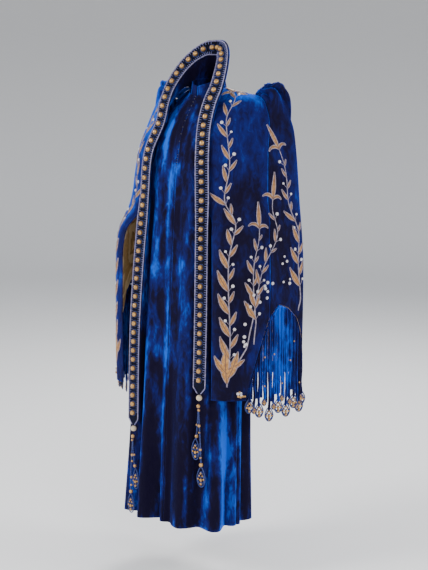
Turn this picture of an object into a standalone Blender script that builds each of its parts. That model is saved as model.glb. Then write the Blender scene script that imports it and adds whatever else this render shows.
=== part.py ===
# Velvet coat with hanging sleeves, worn open-handed on a general figure.
# Frame in metres: origin at the base of the neck, Z up, front toward -Y, wearer's left toward +X.
import math

import bpy
import numpy as np

# Driving sizes.
wall = 0.0022            # velvet wall
lining_wall = 0.0012     # silk lining wall
seam_gap = 0.0003        # space left between sewn pieces
hem_z = -1.392           # coat hem
sleeve_hem_z = -0.955    # lowest edge of the hanging sleeve
band_half = 0.025        # half width of the bead band
band_wall = 0.0030       # thickness of the bead band
bead_pitch = 0.030       # distance between large beads
bead_radius = 0.0082     # large bead
bead_rise = 0.0125       # how far a bead stands off the band
left_band_tip = -0.945   # lower end of each band, the right one hangs lower
right_band_tip = -1.090
right_band_inset = 0.007 # the right band hangs this much nearer the middle, low down
cord_radius = 0.0042
arch_cords = 15
fringe_ends = (0.262, 0.665)

# Coat body: sections from the underarm down. Fold depth grows toward the hem.
body_columns = ("z", "half", "front", "side", "back", "fold")
body_rows = (
    (-0.100, 0.147, -0.118, -0.010, 0.080, 0.000),
    (-0.170, 0.150, -0.150, -0.022, 0.090, 0.001),
    (-0.240, 0.163, -0.166, -0.030, 0.090, 0.002),
    (-0.360, 0.164, -0.176, -0.038, 0.078, 0.003),
    (-0.520, 0.174, -0.188, -0.052, 0.068, 0.005),
    (-0.750, 0.184, -0.203, -0.072, 0.048, 0.009),
    (-1.050, 0.192, -0.220, -0.092, 0.026, 0.015),
    (-1.392, 0.200, -0.241, -0.110, 0.012, 0.023),
)
# Top edge of the front from the middle of the neck to the shoulder tip, and of the back likewise.
front_top = (
    (0.00, 0.0000, -0.0690, -0.006),
    (0.20, 0.0345, -0.0567, 0.000),
    (0.34, 0.0494, -0.0382, 0.007),
    (0.46, 0.0560, -0.0150, 0.013),
    (0.55, 0.0760, -0.0040, 0.010),
    (0.78, 0.1280, 0.0080, -0.010),
    (1.00, 0.1660, 0.0140, -0.034),
)
back_top = (
    (0.00, 0.0000, 0.0470, 0.018),
    (0.22, 0.0396, 0.0300, 0.018),
    (0.36, 0.0541, 0.0040, 0.015),
    (0.46, 0.0565, -0.0120, 0.013),
    (0.55, 0.0760, -0.0020, 0.010),
    (0.78, 0.1280, 0.0100, -0.010),
    (1.00, 0.1660, 0.0160, -0.034),
)
# First large fold from the middle and the space between folds, as shares of the half width.
fold_places = {"right": (0.25, 0.30), "left": (0.21, 0.40), "back": (0.00, 0.33)}

# Mantle and sleeve: each row runs from the front edge, round the outside, to the back seam.
mantle_columns = ("front_x", "front_y", "front_z", "out_x", "out_y", "out_z",
                  "back_share", "back_down", "back_gap", "flat")
mantle_rows = (
    (0.080, -0.004, 0.019, 0.172, 0.020, -0.028, 1.00, 0.000, 0.0065, 1.50),
    (0.077, -0.030, 0.016, 0.210, 0.042, -0.018, 0.88, 0.016, 0.0085, 1.30),
    (0.086, -0.062, -0.006, 0.244, 0.056, -0.024, 0.80, 0.040, 0.0070, 1.22),
    (0.090, -0.098, -0.044, 0.267, 0.064, -0.048, 0.75, 0.070, 0.0030, 1.18),
    (0.091, -0.126, -0.090, 0.284, 0.068, -0.095, 0.74, 0.100, 0.0014, 1.20),
    (0.104, -0.160, -0.178, 0.300, 0.064, -0.170, 0.735, 0.140, 0.0012, 1.36),
    (0.109, -0.168, -0.260, 0.312, 0.060, -0.256, 0.72, 0.185, 0.0012, 1.52),
    (0.114, -0.172, -0.330, 0.320, 0.058, -0.334, 0.71, 0.235, 0.0020, 1.62),
    (0.153, -0.174, -0.385, 0.326, 0.058, -0.396, 0.70, 0.278, 0.0050, 1.70),
    (0.182, -0.206, -0.440, 0.331, 0.058, -0.452, 0.70, 0.278, 0.0070, 1.65),
    (0.192, -0.217, -0.520, 0.336, 0.058, -0.530, 0.70, 0.278, 0.0090, 1.60),
    (0.193, -0.219, -0.640, 0.338, 0.056, -0.640, 0.70, 0.278, 0.0110, 1.60),
    (0.191, -0.220, -0.955, 0.338, 0.054, -0.955, 0.70, 0.278, 0.0120, 1.60),
)
back_fullness = 0.030    # how far the sleeve swells behind its back seam
seam_place = 0.385       # where the mantle front ends and the sleeve begins, share of the width
# Lower edge of the sleeve: share of the width and how far it rises above the front corner.
arch_columns = ("share", "rise")
arch_rows = (
    (0.00, 0.000),
    (0.25, 0.000),
    (0.27, 0.060),
    (0.31, 0.135),
    (0.35, 0.205),
    (0.385, 0.262),
    (0.44, 0.300),
    (0.50, 0.285),
    (0.57, 0.245),
    (0.66, 0.130),
    (0.76, 0.060),
    (1.00, 0.045),
)
armhole_cut = 0.24       # share of the width cut away for the arm
armhole_down = 0.15      # lower end of the armhole, share of the way down
back_tip_cut = 0.06      # share of the back's shoulder tip left free for the sleeve's gathers
puff_height = 0.052
puff_gathers = 7

# Middle line of the bead band, from the back of the collar down the left front.
band_columns = ("x", "y", "z")
band_line = (
    (0.000, 0.034, 0.146),
    (0.029, 0.020, 0.144),
    (0.053, 0.001, 0.128),
    (0.074, -0.028, 0.099),
    (0.088, -0.056, 0.064),
    (0.096, -0.082, 0.026),
    (0.095, -0.112, -0.022),
    (0.093, -0.136, -0.088),
    (0.112, -0.170, -0.178),
    (0.123, -0.184, -0.334),
    (0.134, -0.200, -0.520),
    (0.141, -0.212, -0.700),
    (0.142, -0.228, -1.100),
)
# Foot of the collar in front, the part round the back of the neck follows the coat's back.
collar_foot = (
    (0.0715, -0.012, 0.0165),
    (0.077, -0.032, 0.020),
    (0.083, -0.064, -0.001),
    (0.087, -0.100, -0.040),
    (0.090, -0.127, -0.090),
)

colours = {
    "velvet": (0.02, 0.05, 0.30, 1.0),
    "velvet_collar": (0.02, 0.04, 0.26, 1.0),
    "lining": (0.32, 0.20, 0.10, 1.0),
    "bead_band": (0.20, 0.14, 0.12, 1.0),
    "trimming": (0.10, 0.14, 0.42, 1.0),
}


def interpolate(keys, values, at):
    # Smooth curve through the values, flat slopes worked out from the neighbours on each side.
    keys = np.asarray(keys, float)
    values = np.asarray(values, float).reshape(len(keys), -1)
    at = np.clip(np.asarray(at, float), keys[0], keys[-1])
    step = np.diff(keys)[:, None]
    slope = np.diff(values, axis=0) / step
    tangent = np.zeros_like(values)
    tangent[0], tangent[-1] = slope[0], slope[-1]
    tangent[1:-1] = (slope[:-1] * step[1:] + slope[1:] * step[:-1]) / (step[:-1] + step[1:])
    place = np.clip(np.searchsorted(keys, at, side="right") - 1, 0, len(keys) - 2)
    width = (keys[place + 1] - keys[place])[..., None]
    part = (at - keys[place])[..., None] / width
    first, second = values[place], values[place + 1]
    rise, fall = tangent[place] * width, tangent[place + 1] * width
    square, cube = part ** 2, part ** 3
    near = (2 * cube - 3 * square + 1) * first + (cube - 2 * square + part) * rise
    return near + (3 * square - 2 * cube) * second + (cube - square) * fall


def quarter(share, power):
    # Even steps along a quarter of a rounded square: returns the two factors, 0..1 and 1..0.
    turn = np.linspace(0, math.pi / 2, 181)
    across = np.sin(turn) ** (2 / power)
    along = np.cos(turn) ** (2 / power)
    length = np.concatenate([[0], np.cumsum(np.hypot(np.diff(across), np.diff(along)))])
    at = np.interp(share, length / length[-1], turn)
    return np.sin(at) ** (2 / power), np.clip(np.cos(at), 0, 1) ** (2 / power)


def body_section(z):
    table = np.array(body_rows)
    values = interpolate(-table[:, 0], table[:, 1:], -z)
    return {name: values[..., i] for i, name in enumerate(body_columns[1:])}


def fold_wave(place, piece):
    first, space = fold_places[piece]
    return np.cos(2 * math.pi * (place - first) / space)


def body_point(share, z, piece):
    # Point of the coat below the shoulders. Share 0 is the middle of the piece, 1 its side seam.
    size = body_section(z)
    side = "back" if piece == "back" else "front"
    across, along = quarter(share, 3.3 if side == "front" else 2.7)
    depth = size[side] - size["side"]
    x = size["half"] * across
    y = size["side"] + depth * along
    edge = np.clip(share / 0.10, 0, 1) * np.clip((1 - share) / 0.14, 0, 1)
    swell = size["fold"] * fold_wave(share, piece)
    swell = swell * edge
    length = np.hypot(across * abs(depth), along * size["half"]) + 1e-9
    x = x + swell * across * abs(depth) / length
    y = y + swell * along * size["half"] / length * np.sign(depth)
    return x, y


def body_surface(share, down, piece):
    # Down 0 is the neck and shoulder edge, 0.16 the line under the arm, 1 the hem.
    top = interpolate([row[0] for row in (back_top if piece == "back" else front_top)],
                      [row[1:] for row in (back_top if piece == "back" else front_top)], share)
    below = np.interp(down, (0, 0.16, 1), (-0.10, -0.24, hem_z))
    x, y = body_point(share, below, piece)
    z = below
    blend = np.clip(down / 0.10, 0, 1)
    ease = blend * blend * (3 - 2 * blend)
    drop = np.clip(down / 0.10, 0, 1) ** 1.15
    x = top[..., 0] + (x - top[..., 0]) * ease ** 0.8
    y = top[..., 1] + (y - top[..., 1]) * ease ** 0.75
    z = top[..., 2] + (z - top[..., 2]) * drop
    return np.stack([x, y, z], axis=-1)


def arch_bottom(share):
    table = np.array(arch_rows)
    return sleeve_hem_z + np.interp(share, table[:, 0], table[:, 1])


def mantle_surface(share, down, puff=True):
    # Share 0 is the front edge and 1 the back seam; down 0 is the shoulder and 1 the lower edge.
    share, down = np.broadcast_arrays(np.asarray(share, float), np.asarray(down, float))
    table = np.array(mantle_rows)
    rows = len(table)
    place = np.where(down < 0.86, down / 0.86 * (rows - 2), rows - 2 + (down - 0.86) / 0.14)
    values = interpolate(np.arange(rows), table, place)
    size = {name: values[..., i] for i, name in enumerate(mantle_columns)}
    turn_front, turn_back = 0.62, 0.38
    ahead = np.clip(share / turn_front, 0, 1)
    behind = np.clip((share - turn_front) / turn_back, 0, 1)
    reach = np.sin(ahead * math.pi / 2)
    keep = np.clip(np.cos(ahead * math.pi / 2), 0, 1) ** (2 / size["flat"])
    x = size["front_x"] + (size["out_x"] - size["front_x"]) * reach
    y = size["out_y"] + (size["front_y"] - size["out_y"]) * keep
    z = size["front_z"] + (size["out_z"] - size["front_z"]) * ahead
    # The top edge lies along the shoulder seam of the coat.
    shoulder = np.array(front_top)[3:]
    line = interpolate(shoulder[:, 1], shoulder[:, 2:], x)
    rest = np.clip(1 - place, 0, 1) ** 1.5
    y = y + (line[..., 0] - y) * rest
    z = z + (line[..., 1] + 0.0045 - z) * rest
    seam = body_surface(np.clip(size["back_share"], 0, 1), size["back_down"], "back")
    away = seam - np.array([0.0, -0.03, 0.0])
    away[..., 2] = 0.06 * np.clip(1 - place / 3, 0, 1)
    away = away / np.linalg.norm(away, axis=-1, keepdims=True)
    seam = seam + away * (size["back_gap"] + wall)[..., None]
    seam[..., 2] = np.where(place > 8, size["out_z"], seam[..., 2])
    wrap = np.cos(behind * math.pi / 2)
    turn = np.sin(behind * math.pi / 2)
    past = share > turn_front
    swell = back_fullness * np.sin(behind * math.pi) * np.clip(place / 3, 0, 1)
    x = np.where(past, seam[..., 0] + (size["out_x"] - seam[..., 0]) * wrap, x)
    y = np.where(past, size["out_y"] + (seam[..., 1] - size["out_y"]) * turn + swell, y)
    z = np.where(past, size["out_z"] + (seam[..., 2] - size["out_z"]) * behind, z)
    low = np.clip((place - 10) / 2, 0, 1)
    floor = arch_bottom(share)
    z = np.where(place > 10, -0.525 + (floor + 0.525) * low, z)
    if puff:
        across = np.clip((share - seam_place) / (0.94 - seam_place), 0, 1)
        along = np.clip(place / 3.6, 0, 1)
        swell = np.sin(across * math.pi) ** 0.6 * np.sin(along ** 0.75 * math.pi) ** 0.8
        gather = 1 + 0.20 * np.cos(across * 2 * math.pi * puff_gathers) * (1 - along)
        lift = puff_height * swell * gather
        x = x + lift * 0.30
        z = z + lift * 0.95
    return np.stack([x, y, z], axis=-1)


def grid_normals(points):
    # Direction square to the surface at each grid point, from the points on either side.
    across = np.gradient(points, axis=1)
    along = np.gradient(points, axis=0)
    normal = np.cross(across, along)
    return normal / (np.linalg.norm(normal, axis=-1, keepdims=True) + 1e-12)


def material(slot):
    found = bpy.data.materials.new(slot)
    found.use_nodes = True
    shader = found.node_tree.nodes["Principled BSDF"]
    shader.inputs["Base Color"].default_value = colours[slot]
    shader.inputs["Roughness"].default_value = 0.8
    return found


def place_object(name, mesh, slot, mirror=False):
    if mirror:
        for vertex in mesh.vertices:
            vertex.co.x = -vertex.co.x
        mesh.flip_normals()
    mesh.materials.append(material(slot))
    found = bpy.data.objects.new(name, mesh)
    garment.objects.link(found)
    return found


def cloth(name, points, slot, thickness=wall, inward=False, mirror=False):
    # Open surface from a grid of points, then given its wall by Solidify.
    rows, columns = points.shape[:2]
    index = np.arange(rows * columns).reshape(rows, columns)
    faces = np.stack([index[:-1, :-1], index[:-1, 1:], index[1:, 1:], index[1:, :-1]], axis=-1)
    mesh = bpy.data.meshes.new(name)
    mesh.from_pydata(points.reshape(-1, 3).tolist(), [], faces.reshape(-1, 4).tolist())
    mesh.update()
    found = place_object(name, mesh, slot, mirror)
    wall_maker = found.modifiers.new("wall", "SOLIDIFY")
    wall_maker.thickness = thickness
    wall_maker.offset = 1.0 if not inward else -1.0
    wall_maker.use_even_offset = False
    wall_maker.use_rim = True
    return found


def outward(points, middle):
    # Grid turned so that its faces look away from the middle point.
    normal = grid_normals(points)
    away = points - np.asarray(middle)
    return points if (normal * away).sum() > 0 else points[:, ::-1]


def armhole(down):
    # How far the side edge is cut back: nothing at the shoulder and under the arm, all between.
    return np.sin(np.clip(down / armhole_down, 0, 1) * math.pi) ** 0.7


def coat_body():
    steps = np.linspace(0, 1, 15)
    downs = np.array([0, 0.008, 0.020, 0.045, 0.075, 0.105, 0.13, armhole_down, 0.20, 0.28, 0.40,
                      0.56, 0.72, 0.87, 1.0])
    shares = steps[None, :] * (1 - armhole_cut * armhole(downs))[:, None]
    for side in ("left", "right"):
        points = body_surface(shares, downs[:, None], side)
        points[:, 0, 0] = seam_gap
        points[:, -1, 1] -= seam_gap * 3
        points[0, 6:, 1] -= seam_gap
        points = outward(points, (0, -0.02, -0.7))
        cloth("front_" + side, points, "velvet", mirror=side == "right")
    shares = shares * (1 - back_tip_cut * np.clip(1 - downs / 0.02, 0, 1))[:, None]
    half = body_surface(shares[:, 1:], downs[:, None], "back")
    middle = body_surface(np.zeros((1, 1)), downs[:, None], "back")
    half[:, -1, 1] += seam_gap * 3
    half[0, 6:, 1] += seam_gap
    other = half[:, ::-1] * np.array([-1, 1, 1])
    points = np.concatenate([other, middle, half], axis=1)
    points = outward(points, (0, -0.02, -0.7))
    cloth("back", points, "velvet")


def neckband():
    turns = np.linspace(math.radians(1.5), math.radians(358.5), 25)
    levels = np.array([-0.004, 0.010, 0.030])
    base = interpolate((0, 0.5 * math.pi, math.pi, 1.5 * math.pi, 2 * math.pi),
                       (-0.006, 0.014, 0.018, 0.014, -0.006), turns)[:, 0]
    lean = np.interp(levels, (-0.004, 0.030), (0.0, 0.004))
    x = (0.0538 - lean)[:, None] * np.sin(turns)[None, :]
    y = -0.011 - (0.0557 - lean)[:, None] * np.cos(turns)[None, :]
    z = base[None, :] + levels[:, None]
    points = outward(np.stack([x, y, z], axis=-1), (0, -0.011, 0.01))
    cloth("neckband", points, "velvet_collar", thickness=0.0016, inward=True)


def band_frames(distance, side="left"):
    # Point, direction along, direction across and facing direction of the band at each distance.
    line = np.array(band_line)
    mirrored = line[:0:-1] * np.array([-1, 1, 1])
    whole = np.concatenate([mirrored, line])
    keys = np.concatenate([[0], np.cumsum(np.linalg.norm(np.diff(whole, axis=0), axis=1))])
    keys = keys - keys[len(mirrored)]
    fine = np.linspace(0, keys[-1], 1200)
    places = interpolate(keys, whole, fine)
    run = np.concatenate([[0], np.cumsum(np.linalg.norm(np.diff(places, axis=0), axis=1))])
    at = np.interp(distance, run, fine)
    point = interpolate(keys, whole, at)
    if side == "right":
        low = np.interp(-point[:, 2], (0.15, 0.50), (0, 1))
        point[:, 0] -= right_band_inset * low
        point[:, 1] -= 0.006 * low
    along = interpolate(keys, whole, at + 0.004) - interpolate(keys, whole, at - 0.004)
    along = along / np.linalg.norm(along, axis=-1, keepdims=True)
    turn = np.interp(point[:, 2], (-0.40, -0.33, -0.12, -0.02, 0.15), (0.10, 0.25, 0.25, 0.12, 0.0))
    facing = np.stack([turn, -np.ones_like(turn), np.full_like(turn, 0.20)], axis=-1)
    facing[:, 2] = np.interp(point[:, 2], (-0.2, 0.0), (0.0, 0.20))
    facing = facing - along * (facing * along).sum(-1, keepdims=True)
    facing = facing / np.linalg.norm(facing, axis=-1, keepdims=True)
    across = np.cross(facing, along)
    return point, along, across, facing


def band_length(tip, side="left"):
    distance = np.linspace(0, 1.6, 1601)
    point = band_frames(distance, side)[0]
    below = distance[point[:, 2] <= tip]
    return float(below[0]) if len(below) else 1.6


def bead_band(side):
    length = band_length(left_band_tip if side == "left" else right_band_tip, side)
    count = int((length - 0.030) / bead_pitch)
    stations = [(seam_gap, 0.0, 1.0)]
    for number in range(count):
        middle = bead_pitch * (number + 0.5)
        stations += [(middle - bead_radius, 0.0, 1.0), (middle, 1.0, 1.0), (middle + bead_radius, 0.0, 1.0)]
    stations += [(length - 0.022, 0.0, 1.0), (length, 0.0, 0.12)]
    stations = np.array(stations)
    point, along, across, facing = band_frames(stations[:, 0], side)
    raised, width = stations[:, 1], stations[:, 2]
    offsets = ((-band_half, 0), (-bead_radius, 0.42), (0, 1.0), (bead_radius, 0.42), (band_half, 0))
    ring = []
    for place, high in offsets:
        rise = band_wall / 2 + bead_rise * high * raised
        ring.append(point + across * (place * width)[:, None] + facing * rise[:, None])
    for place in (band_half, -band_half):
        ring.append(point + across * (place * width)[:, None] - facing * band_wall / 2)
    points = np.stack(ring, axis=1)
    tube("band_" + side, points, "bead_band", mirror=side == "right")


def tube(name, points, slot, mirror=False):
    # Closed body through rings of points, with a face over each end.
    rows, columns = points.shape[:2]
    index = np.arange(rows * columns).reshape(rows, columns)
    following = np.roll(index, -1, axis=1)
    faces = np.stack([index[:-1], following[:-1], following[1:], index[1:]], axis=-1)
    faces = faces.reshape(-1, 4).tolist()
    faces += [index[0, ::-1].tolist(), index[-1].tolist()]
    mesh = bpy.data.meshes.new(name)
    mesh.from_pydata(points.reshape(-1, 3).tolist(), [], faces)
    mesh.update()
    volume = 0.0
    mesh.calc_loop_triangles()
    for triangle in mesh.loop_triangles:
        first, second, third = (mesh.vertices[i].co for i in triangle.vertices)
        volume += first.dot(second.cross(third))
    if volume < 0:
        mesh.flip_normals()
    return place_object(name, mesh, slot, mirror)


def collar():
    reach = band_length(collar_foot[-1][2])
    middles = bead_pitch * (np.arange(int(reach / bead_pitch)) + 0.5)
    stops = [[0.008], middles - bead_radius, middles, middles + bead_radius, [reach]]
    half = np.sort(np.concatenate(stops))
    half = half[half <= reach]
    distance = np.concatenate([half[::-1], [0], half])
    share = np.concatenate([-half[::-1], [0], half]) / reach
    point, along, across, facing = band_frames(distance)
    across_back = np.array([0.0, 0.18, 0.33, 0.45, 0.52])
    down_back = np.array([0.005, 0.005, 0.005, 0.004, 0.002])
    behind_neck = body_surface(across_back, down_back, "back")
    away = behind_neck - np.array([0.0, -0.010, -0.030])
    away = away / np.linalg.norm(away, axis=-1, keepdims=True)
    lift = wall + np.array([[0.0012], [0.0012], [0.0014], [0.0042], [0.0048]])
    foot = np.concatenate([behind_neck + away * lift, collar_foot])
    base = interpolate(np.linspace(0, 1, len(foot)) ** 1.1, foot, np.abs(share))
    behind = band_wall / 2 + seam_gap
    edge = point + across * (band_half + 0.002) - facing * behind
    inner = point - across * band_half - facing * behind
    points = np.stack([base, inner, edge], axis=0)
    points[:, share < 0, 0] *= -1
    points = outward(points, (0, 0.30, 0.10))
    cloth("collar", points, "velvet_collar", inward=True)


def mantle(side):
    corners = np.array(arch_rows)[1:-1, 0]
    front_steps = np.concatenate([[0, 0.06, 0.12, 0.19], corners[corners <= seam_place]])
    sleeve_steps = np.concatenate([corners[corners >= seam_place], [0.62, 0.71, 0.84, 0.92, 1.0]])
    sleeve_steps = np.sort(sleeve_steps)
    downs = np.array([0, 0.05, 0.10, 0.16, 0.22, 0.29, 0.36, 0.43, 0.50, 0.58, 0.66, 0.74, 0.82,
                      0.88, 0.94, 1.0])
    mirror = side == "right"
    points = mantle_surface(front_steps[None, :], downs[:, None])
    trim = np.interp(downs, (0, 0.10, 0.30), (0.64, 0.29, 0.013))[:, None]
    points[:, -1] += (points[:, -2] - points[:, -1]) * trim
    cloth("mantle_front_" + side, outward(points, (0.15, 0.0, -0.6)), "velvet", mirror=mirror)
    points = mantle_surface(sleeve_steps[None, :], downs[:, None])
    cloth("sleeve_" + side, outward(points, (0.15, 0.0, -0.6)), "velvet", mirror=mirror)
    inner_downs = np.array([0.43, 0.50, 0.58, 0.66, 0.74, 0.82, 0.88, 0.94, 0.99])
    inner_steps = np.concatenate([[0.012], front_steps[1:-1], sleeve_steps[:-1], [0.985]])
    points = outward(mantle_surface(inner_steps[None, :], inner_downs[:, None]), (0.15, 0.0, -0.6))
    points = points - grid_normals(points) * 0.0011
    cloth("lining_" + side, points, "lining", thickness=lining_wall, inward=True, mirror=mirror)


def rod(start, end, radius, sides=4):
    # Straight closed prism between two points.
    start, end = np.asarray(start, float), np.asarray(end, float)
    along = (end - start) / np.linalg.norm(end - start)
    helper = np.array([0.0, 1.0, 0.0]) if abs(along[1]) < 0.9 else np.array([1.0, 0.0, 0.0])
    first = np.cross(along, helper)
    first = first / np.linalg.norm(first)
    second = np.cross(along, first)
    turns = np.linspace(0, 2 * math.pi, sides, endpoint=False) + math.pi / sides
    ring = first * np.cos(turns)[:, None] + second * np.sin(turns)[:, None]
    return np.stack([start + ring * radius, end + ring * radius])


def ball(middle, radius, sides=8):
    levels = np.array([0.15, 0.5, 0.85]) * math.pi
    turns = np.linspace(0, 2 * math.pi, sides, endpoint=False)
    rings = [np.stack([np.sin(level) * np.cos(turns), np.sin(level) * np.sin(turns),
                       np.full(sides, np.cos(level))], axis=-1) for level in levels]
    return np.asarray(middle) + np.stack(rings) * radius


def teardrop(middle, width, height, depth, facing):
    # Flat drop with its point upward, standing square to the facing direction.
    facing = np.asarray(facing, float) / np.linalg.norm(facing)
    side = np.cross(facing, (0, 0, 1.0))
    turns = np.linspace(0, 2 * math.pi, 10, endpoint=False)
    across = np.sin(turns) * np.where(np.cos(turns) > 0, 1 - 0.45 * np.cos(turns), 1.0) * width / 2
    upward = np.cos(turns) * height / 2
    outline = side * across[:, None] + np.array([0, 0, 1.0]) * upward[:, None]
    rings = [outline * 0.86 - facing * depth / 2, outline - facing * depth * 0.2,
             outline + facing * depth * 0.2, outline * 0.86 + facing * depth / 2]
    return np.asarray(middle) + np.stack(rings)


def join(name, bodies, slot, mirror):
    # All closed bodies made one by Boolean union, the first one keeps the name.
    names = [name] + [name + "_add_%d" % i for i in range(1, len(bodies))]
    made = [tube(label, body, slot, mirror) for label, body in zip(names, bodies)]
    base = made[0]
    adders = bpy.data.collections.new(name + "_adders")
    bpy.context.scene.collection.children.link(adders)
    for item in made[1:]:
        garment.objects.unlink(item)
        adders.objects.link(item)
        item.hide_render = True
        item.display_type = "WIRE"
    union = base.modifiers.new("union", "BOOLEAN")
    union.operation = "UNION"
    union.solver = "EXACT"
    union.operand_type = "COLLECTION"
    union.collection = adders
    union.use_self = True
    return base


def tassel(side):
    tip = left_band_tip if side == "left" else right_band_tip
    point, along, across, facing = band_frames(np.array([band_length(tip, side)]), side)
    top = point[0]
    front = facing[0]
    x, y, z = top
    bodies = [ball((x, y, z - 0.0098), 0.0105)]
    y = y - 0.005
    bodies.append(ball((x, y, z - 0.036), 0.0068))
    bodies.append(rod((x, y + 0.005, z - 0.010), (x, y, z - 0.050), 0.0030))
    bodies.append(rod((x, y, z - 0.045), (x - 0.010, y, z - 0.150), 0.0026))
    bodies.append(rod((x, y, z - 0.045), (x + 0.011, y, z - 0.225), 0.0026))
    bodies.append(ball((x + 0.004, y, z - 0.105), 0.0060))
    bodies.append(teardrop((x - 0.012, y, z - 0.180), 0.034, 0.072, 0.007, front))
    bodies.append(ball((x + 0.011, y, z - 0.232), 0.0085))
    bodies.append(teardrop((x + 0.011, y, z - 0.268), 0.036, 0.070, 0.007, front))
    join("tassel_" + side, bodies, "trimming", side == "right")


def fringe(side):
    # Narrow strip under the arched edge with cords down to medallions.
    edge = np.linspace(fringe_ends[0], fringe_ends[1], arch_cords * 2 - 1)
    head = mantle_surface(edge, np.ones_like(edge))
    along = np.gradient(head, axis=0)
    out = np.stack([along[:, 1], -along[:, 0], np.zeros(len(head))], axis=1)
    out = out / np.linalg.norm(out, axis=1, keepdims=True)
    below = np.cross(along, out)
    below = below * -np.sign(below[:, 2:3]) / np.linalg.norm(below, axis=1, keepdims=True)
    head = head + below * 0.0018
    corners = ((0.0022, 0.0), (0.0022, 0.007), (-0.0010, 0.007), (-0.0010, 0.0))
    rings = [head + out * depth + below * drop for depth, drop in corners]
    bodies = [np.stack(rings, axis=1)]
    lows = []
    for number in range(arch_cords):
        spot = head[number * 2]
        low = -0.952 - 0.034 * ((number * 5) % 7) / 6
        if number % 2 == 0:
            low -= 0.010
        start = spot + below[number * 2] * 0.004
        lows.append((start[0], start[1], low))
        bodies.append(rod(start, (start[0], start[1], low), cord_radius))
    for number in range(0, arch_cords, 2):
        x, y, low = lows[number]
        out = np.array([0.80, -0.60, 0.0])
        bodies.append(teardrop((x, y, low - 0.012), 0.030, 0.046, 0.010, out))
    join("fringe_" + side, bodies, "trimming", side == "right")


for item in list(bpy.data.objects):
    bpy.data.objects.remove(item, do_unlink=True)
garment = bpy.data.collections.new("velvet_coat")
bpy.context.scene.collection.children.link(garment)

coat_body()
neckband()
collar()
for side in ("left", "right"):
    mantle(side)
    bead_band(side)
    tassel(side)
    fringe(side)
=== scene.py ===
import math
import bpy
import numpy as np
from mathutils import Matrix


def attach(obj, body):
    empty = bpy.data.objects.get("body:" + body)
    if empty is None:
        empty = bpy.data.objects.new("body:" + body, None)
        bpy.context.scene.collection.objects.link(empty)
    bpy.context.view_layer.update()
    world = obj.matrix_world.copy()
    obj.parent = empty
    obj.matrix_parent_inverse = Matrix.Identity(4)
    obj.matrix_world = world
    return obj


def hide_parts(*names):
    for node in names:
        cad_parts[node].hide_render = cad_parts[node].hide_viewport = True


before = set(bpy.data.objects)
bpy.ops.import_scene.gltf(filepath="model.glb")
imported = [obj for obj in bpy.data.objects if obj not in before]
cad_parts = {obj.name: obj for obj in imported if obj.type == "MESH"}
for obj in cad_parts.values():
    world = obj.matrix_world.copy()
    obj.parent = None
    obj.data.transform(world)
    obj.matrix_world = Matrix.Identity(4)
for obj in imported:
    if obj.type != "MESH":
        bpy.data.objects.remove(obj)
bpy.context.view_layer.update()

# Evening coat of sapphire silk velvet: hanging sleeves with gathered heads, a tall collar whose
# edge carries a band of gold beads, metal-thread vines, and velvet cords under an arched hem.
# Metres, Z up, front toward -Y, the wearer's left toward +X, origin at the base of the neck.
print("frame loaded with", len(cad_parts), "nodes")

# The cut of the coat.
coat = {
    "wall": 0.0022,
    "liningWall": 0.0012,
    "hemZ": -1.392,
    "sleeveHemZ": -0.955,
    "seamGap": 0.0003,
    "armholeCut": 0.24,
    "armholeDown": 0.15,
    "backTipCut": 0.06,
}
# z, half width, front y, side y, back y, depth of the folds
bodyRows = np.array((
    (-0.100, 0.147, -0.118, -0.010, 0.080, 0.000),
    (-0.170, 0.150, -0.150, -0.022, 0.090, 0.001),
    (-0.240, 0.163, -0.166, -0.030, 0.090, 0.002),
    (-0.360, 0.164, -0.176, -0.038, 0.078, 0.003),
    (-0.520, 0.174, -0.188, -0.052, 0.068, 0.005),
    (-0.750, 0.184, -0.203, -0.072, 0.048, 0.009),
    (-1.050, 0.192, -0.220, -0.092, 0.026, 0.015),
    (-1.392, 0.200, -0.241, -0.110, 0.012, 0.023),
))
# share of the width, x, y, z along the neck and shoulder
frontTop = np.array((
    (0.00, 0.0000, -0.0690, -0.006),
    (0.20, 0.0345, -0.0567, 0.000),
    (0.34, 0.0494, -0.0382, 0.007),
    (0.46, 0.0560, -0.0150, 0.013),
    (0.55, 0.0760, -0.0040, 0.010),
    (0.78, 0.1280, 0.0080, -0.010),
    (1.00, 0.1660, 0.0140, -0.034),
))
backTop = np.array((
    (0.00, 0.0000, 0.0470, 0.018),
    (0.22, 0.0396, 0.0300, 0.018),
    (0.36, 0.0541, 0.0040, 0.015),
    (0.46, 0.0565, -0.0120, 0.013),
    (0.55, 0.0760, -0.0020, 0.010),
    (0.78, 0.1280, 0.0100, -0.010),
    (1.00, 0.1660, 0.0160, -0.034),
))
# first large fold and the space between folds, as shares of the half width
foldPlaces = {"right": (0.25, 0.30), "left": (0.21, 0.40), "back": (0.00, 0.33)}

mantle = {
    "fullness": 0.030,
    "seam": 0.385,
    "puffHeight": 0.052,
    "puffGathers": 7,
    "gatherDepth": 0.0135,
    "rippleDepth": 0.0040,
}
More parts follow.
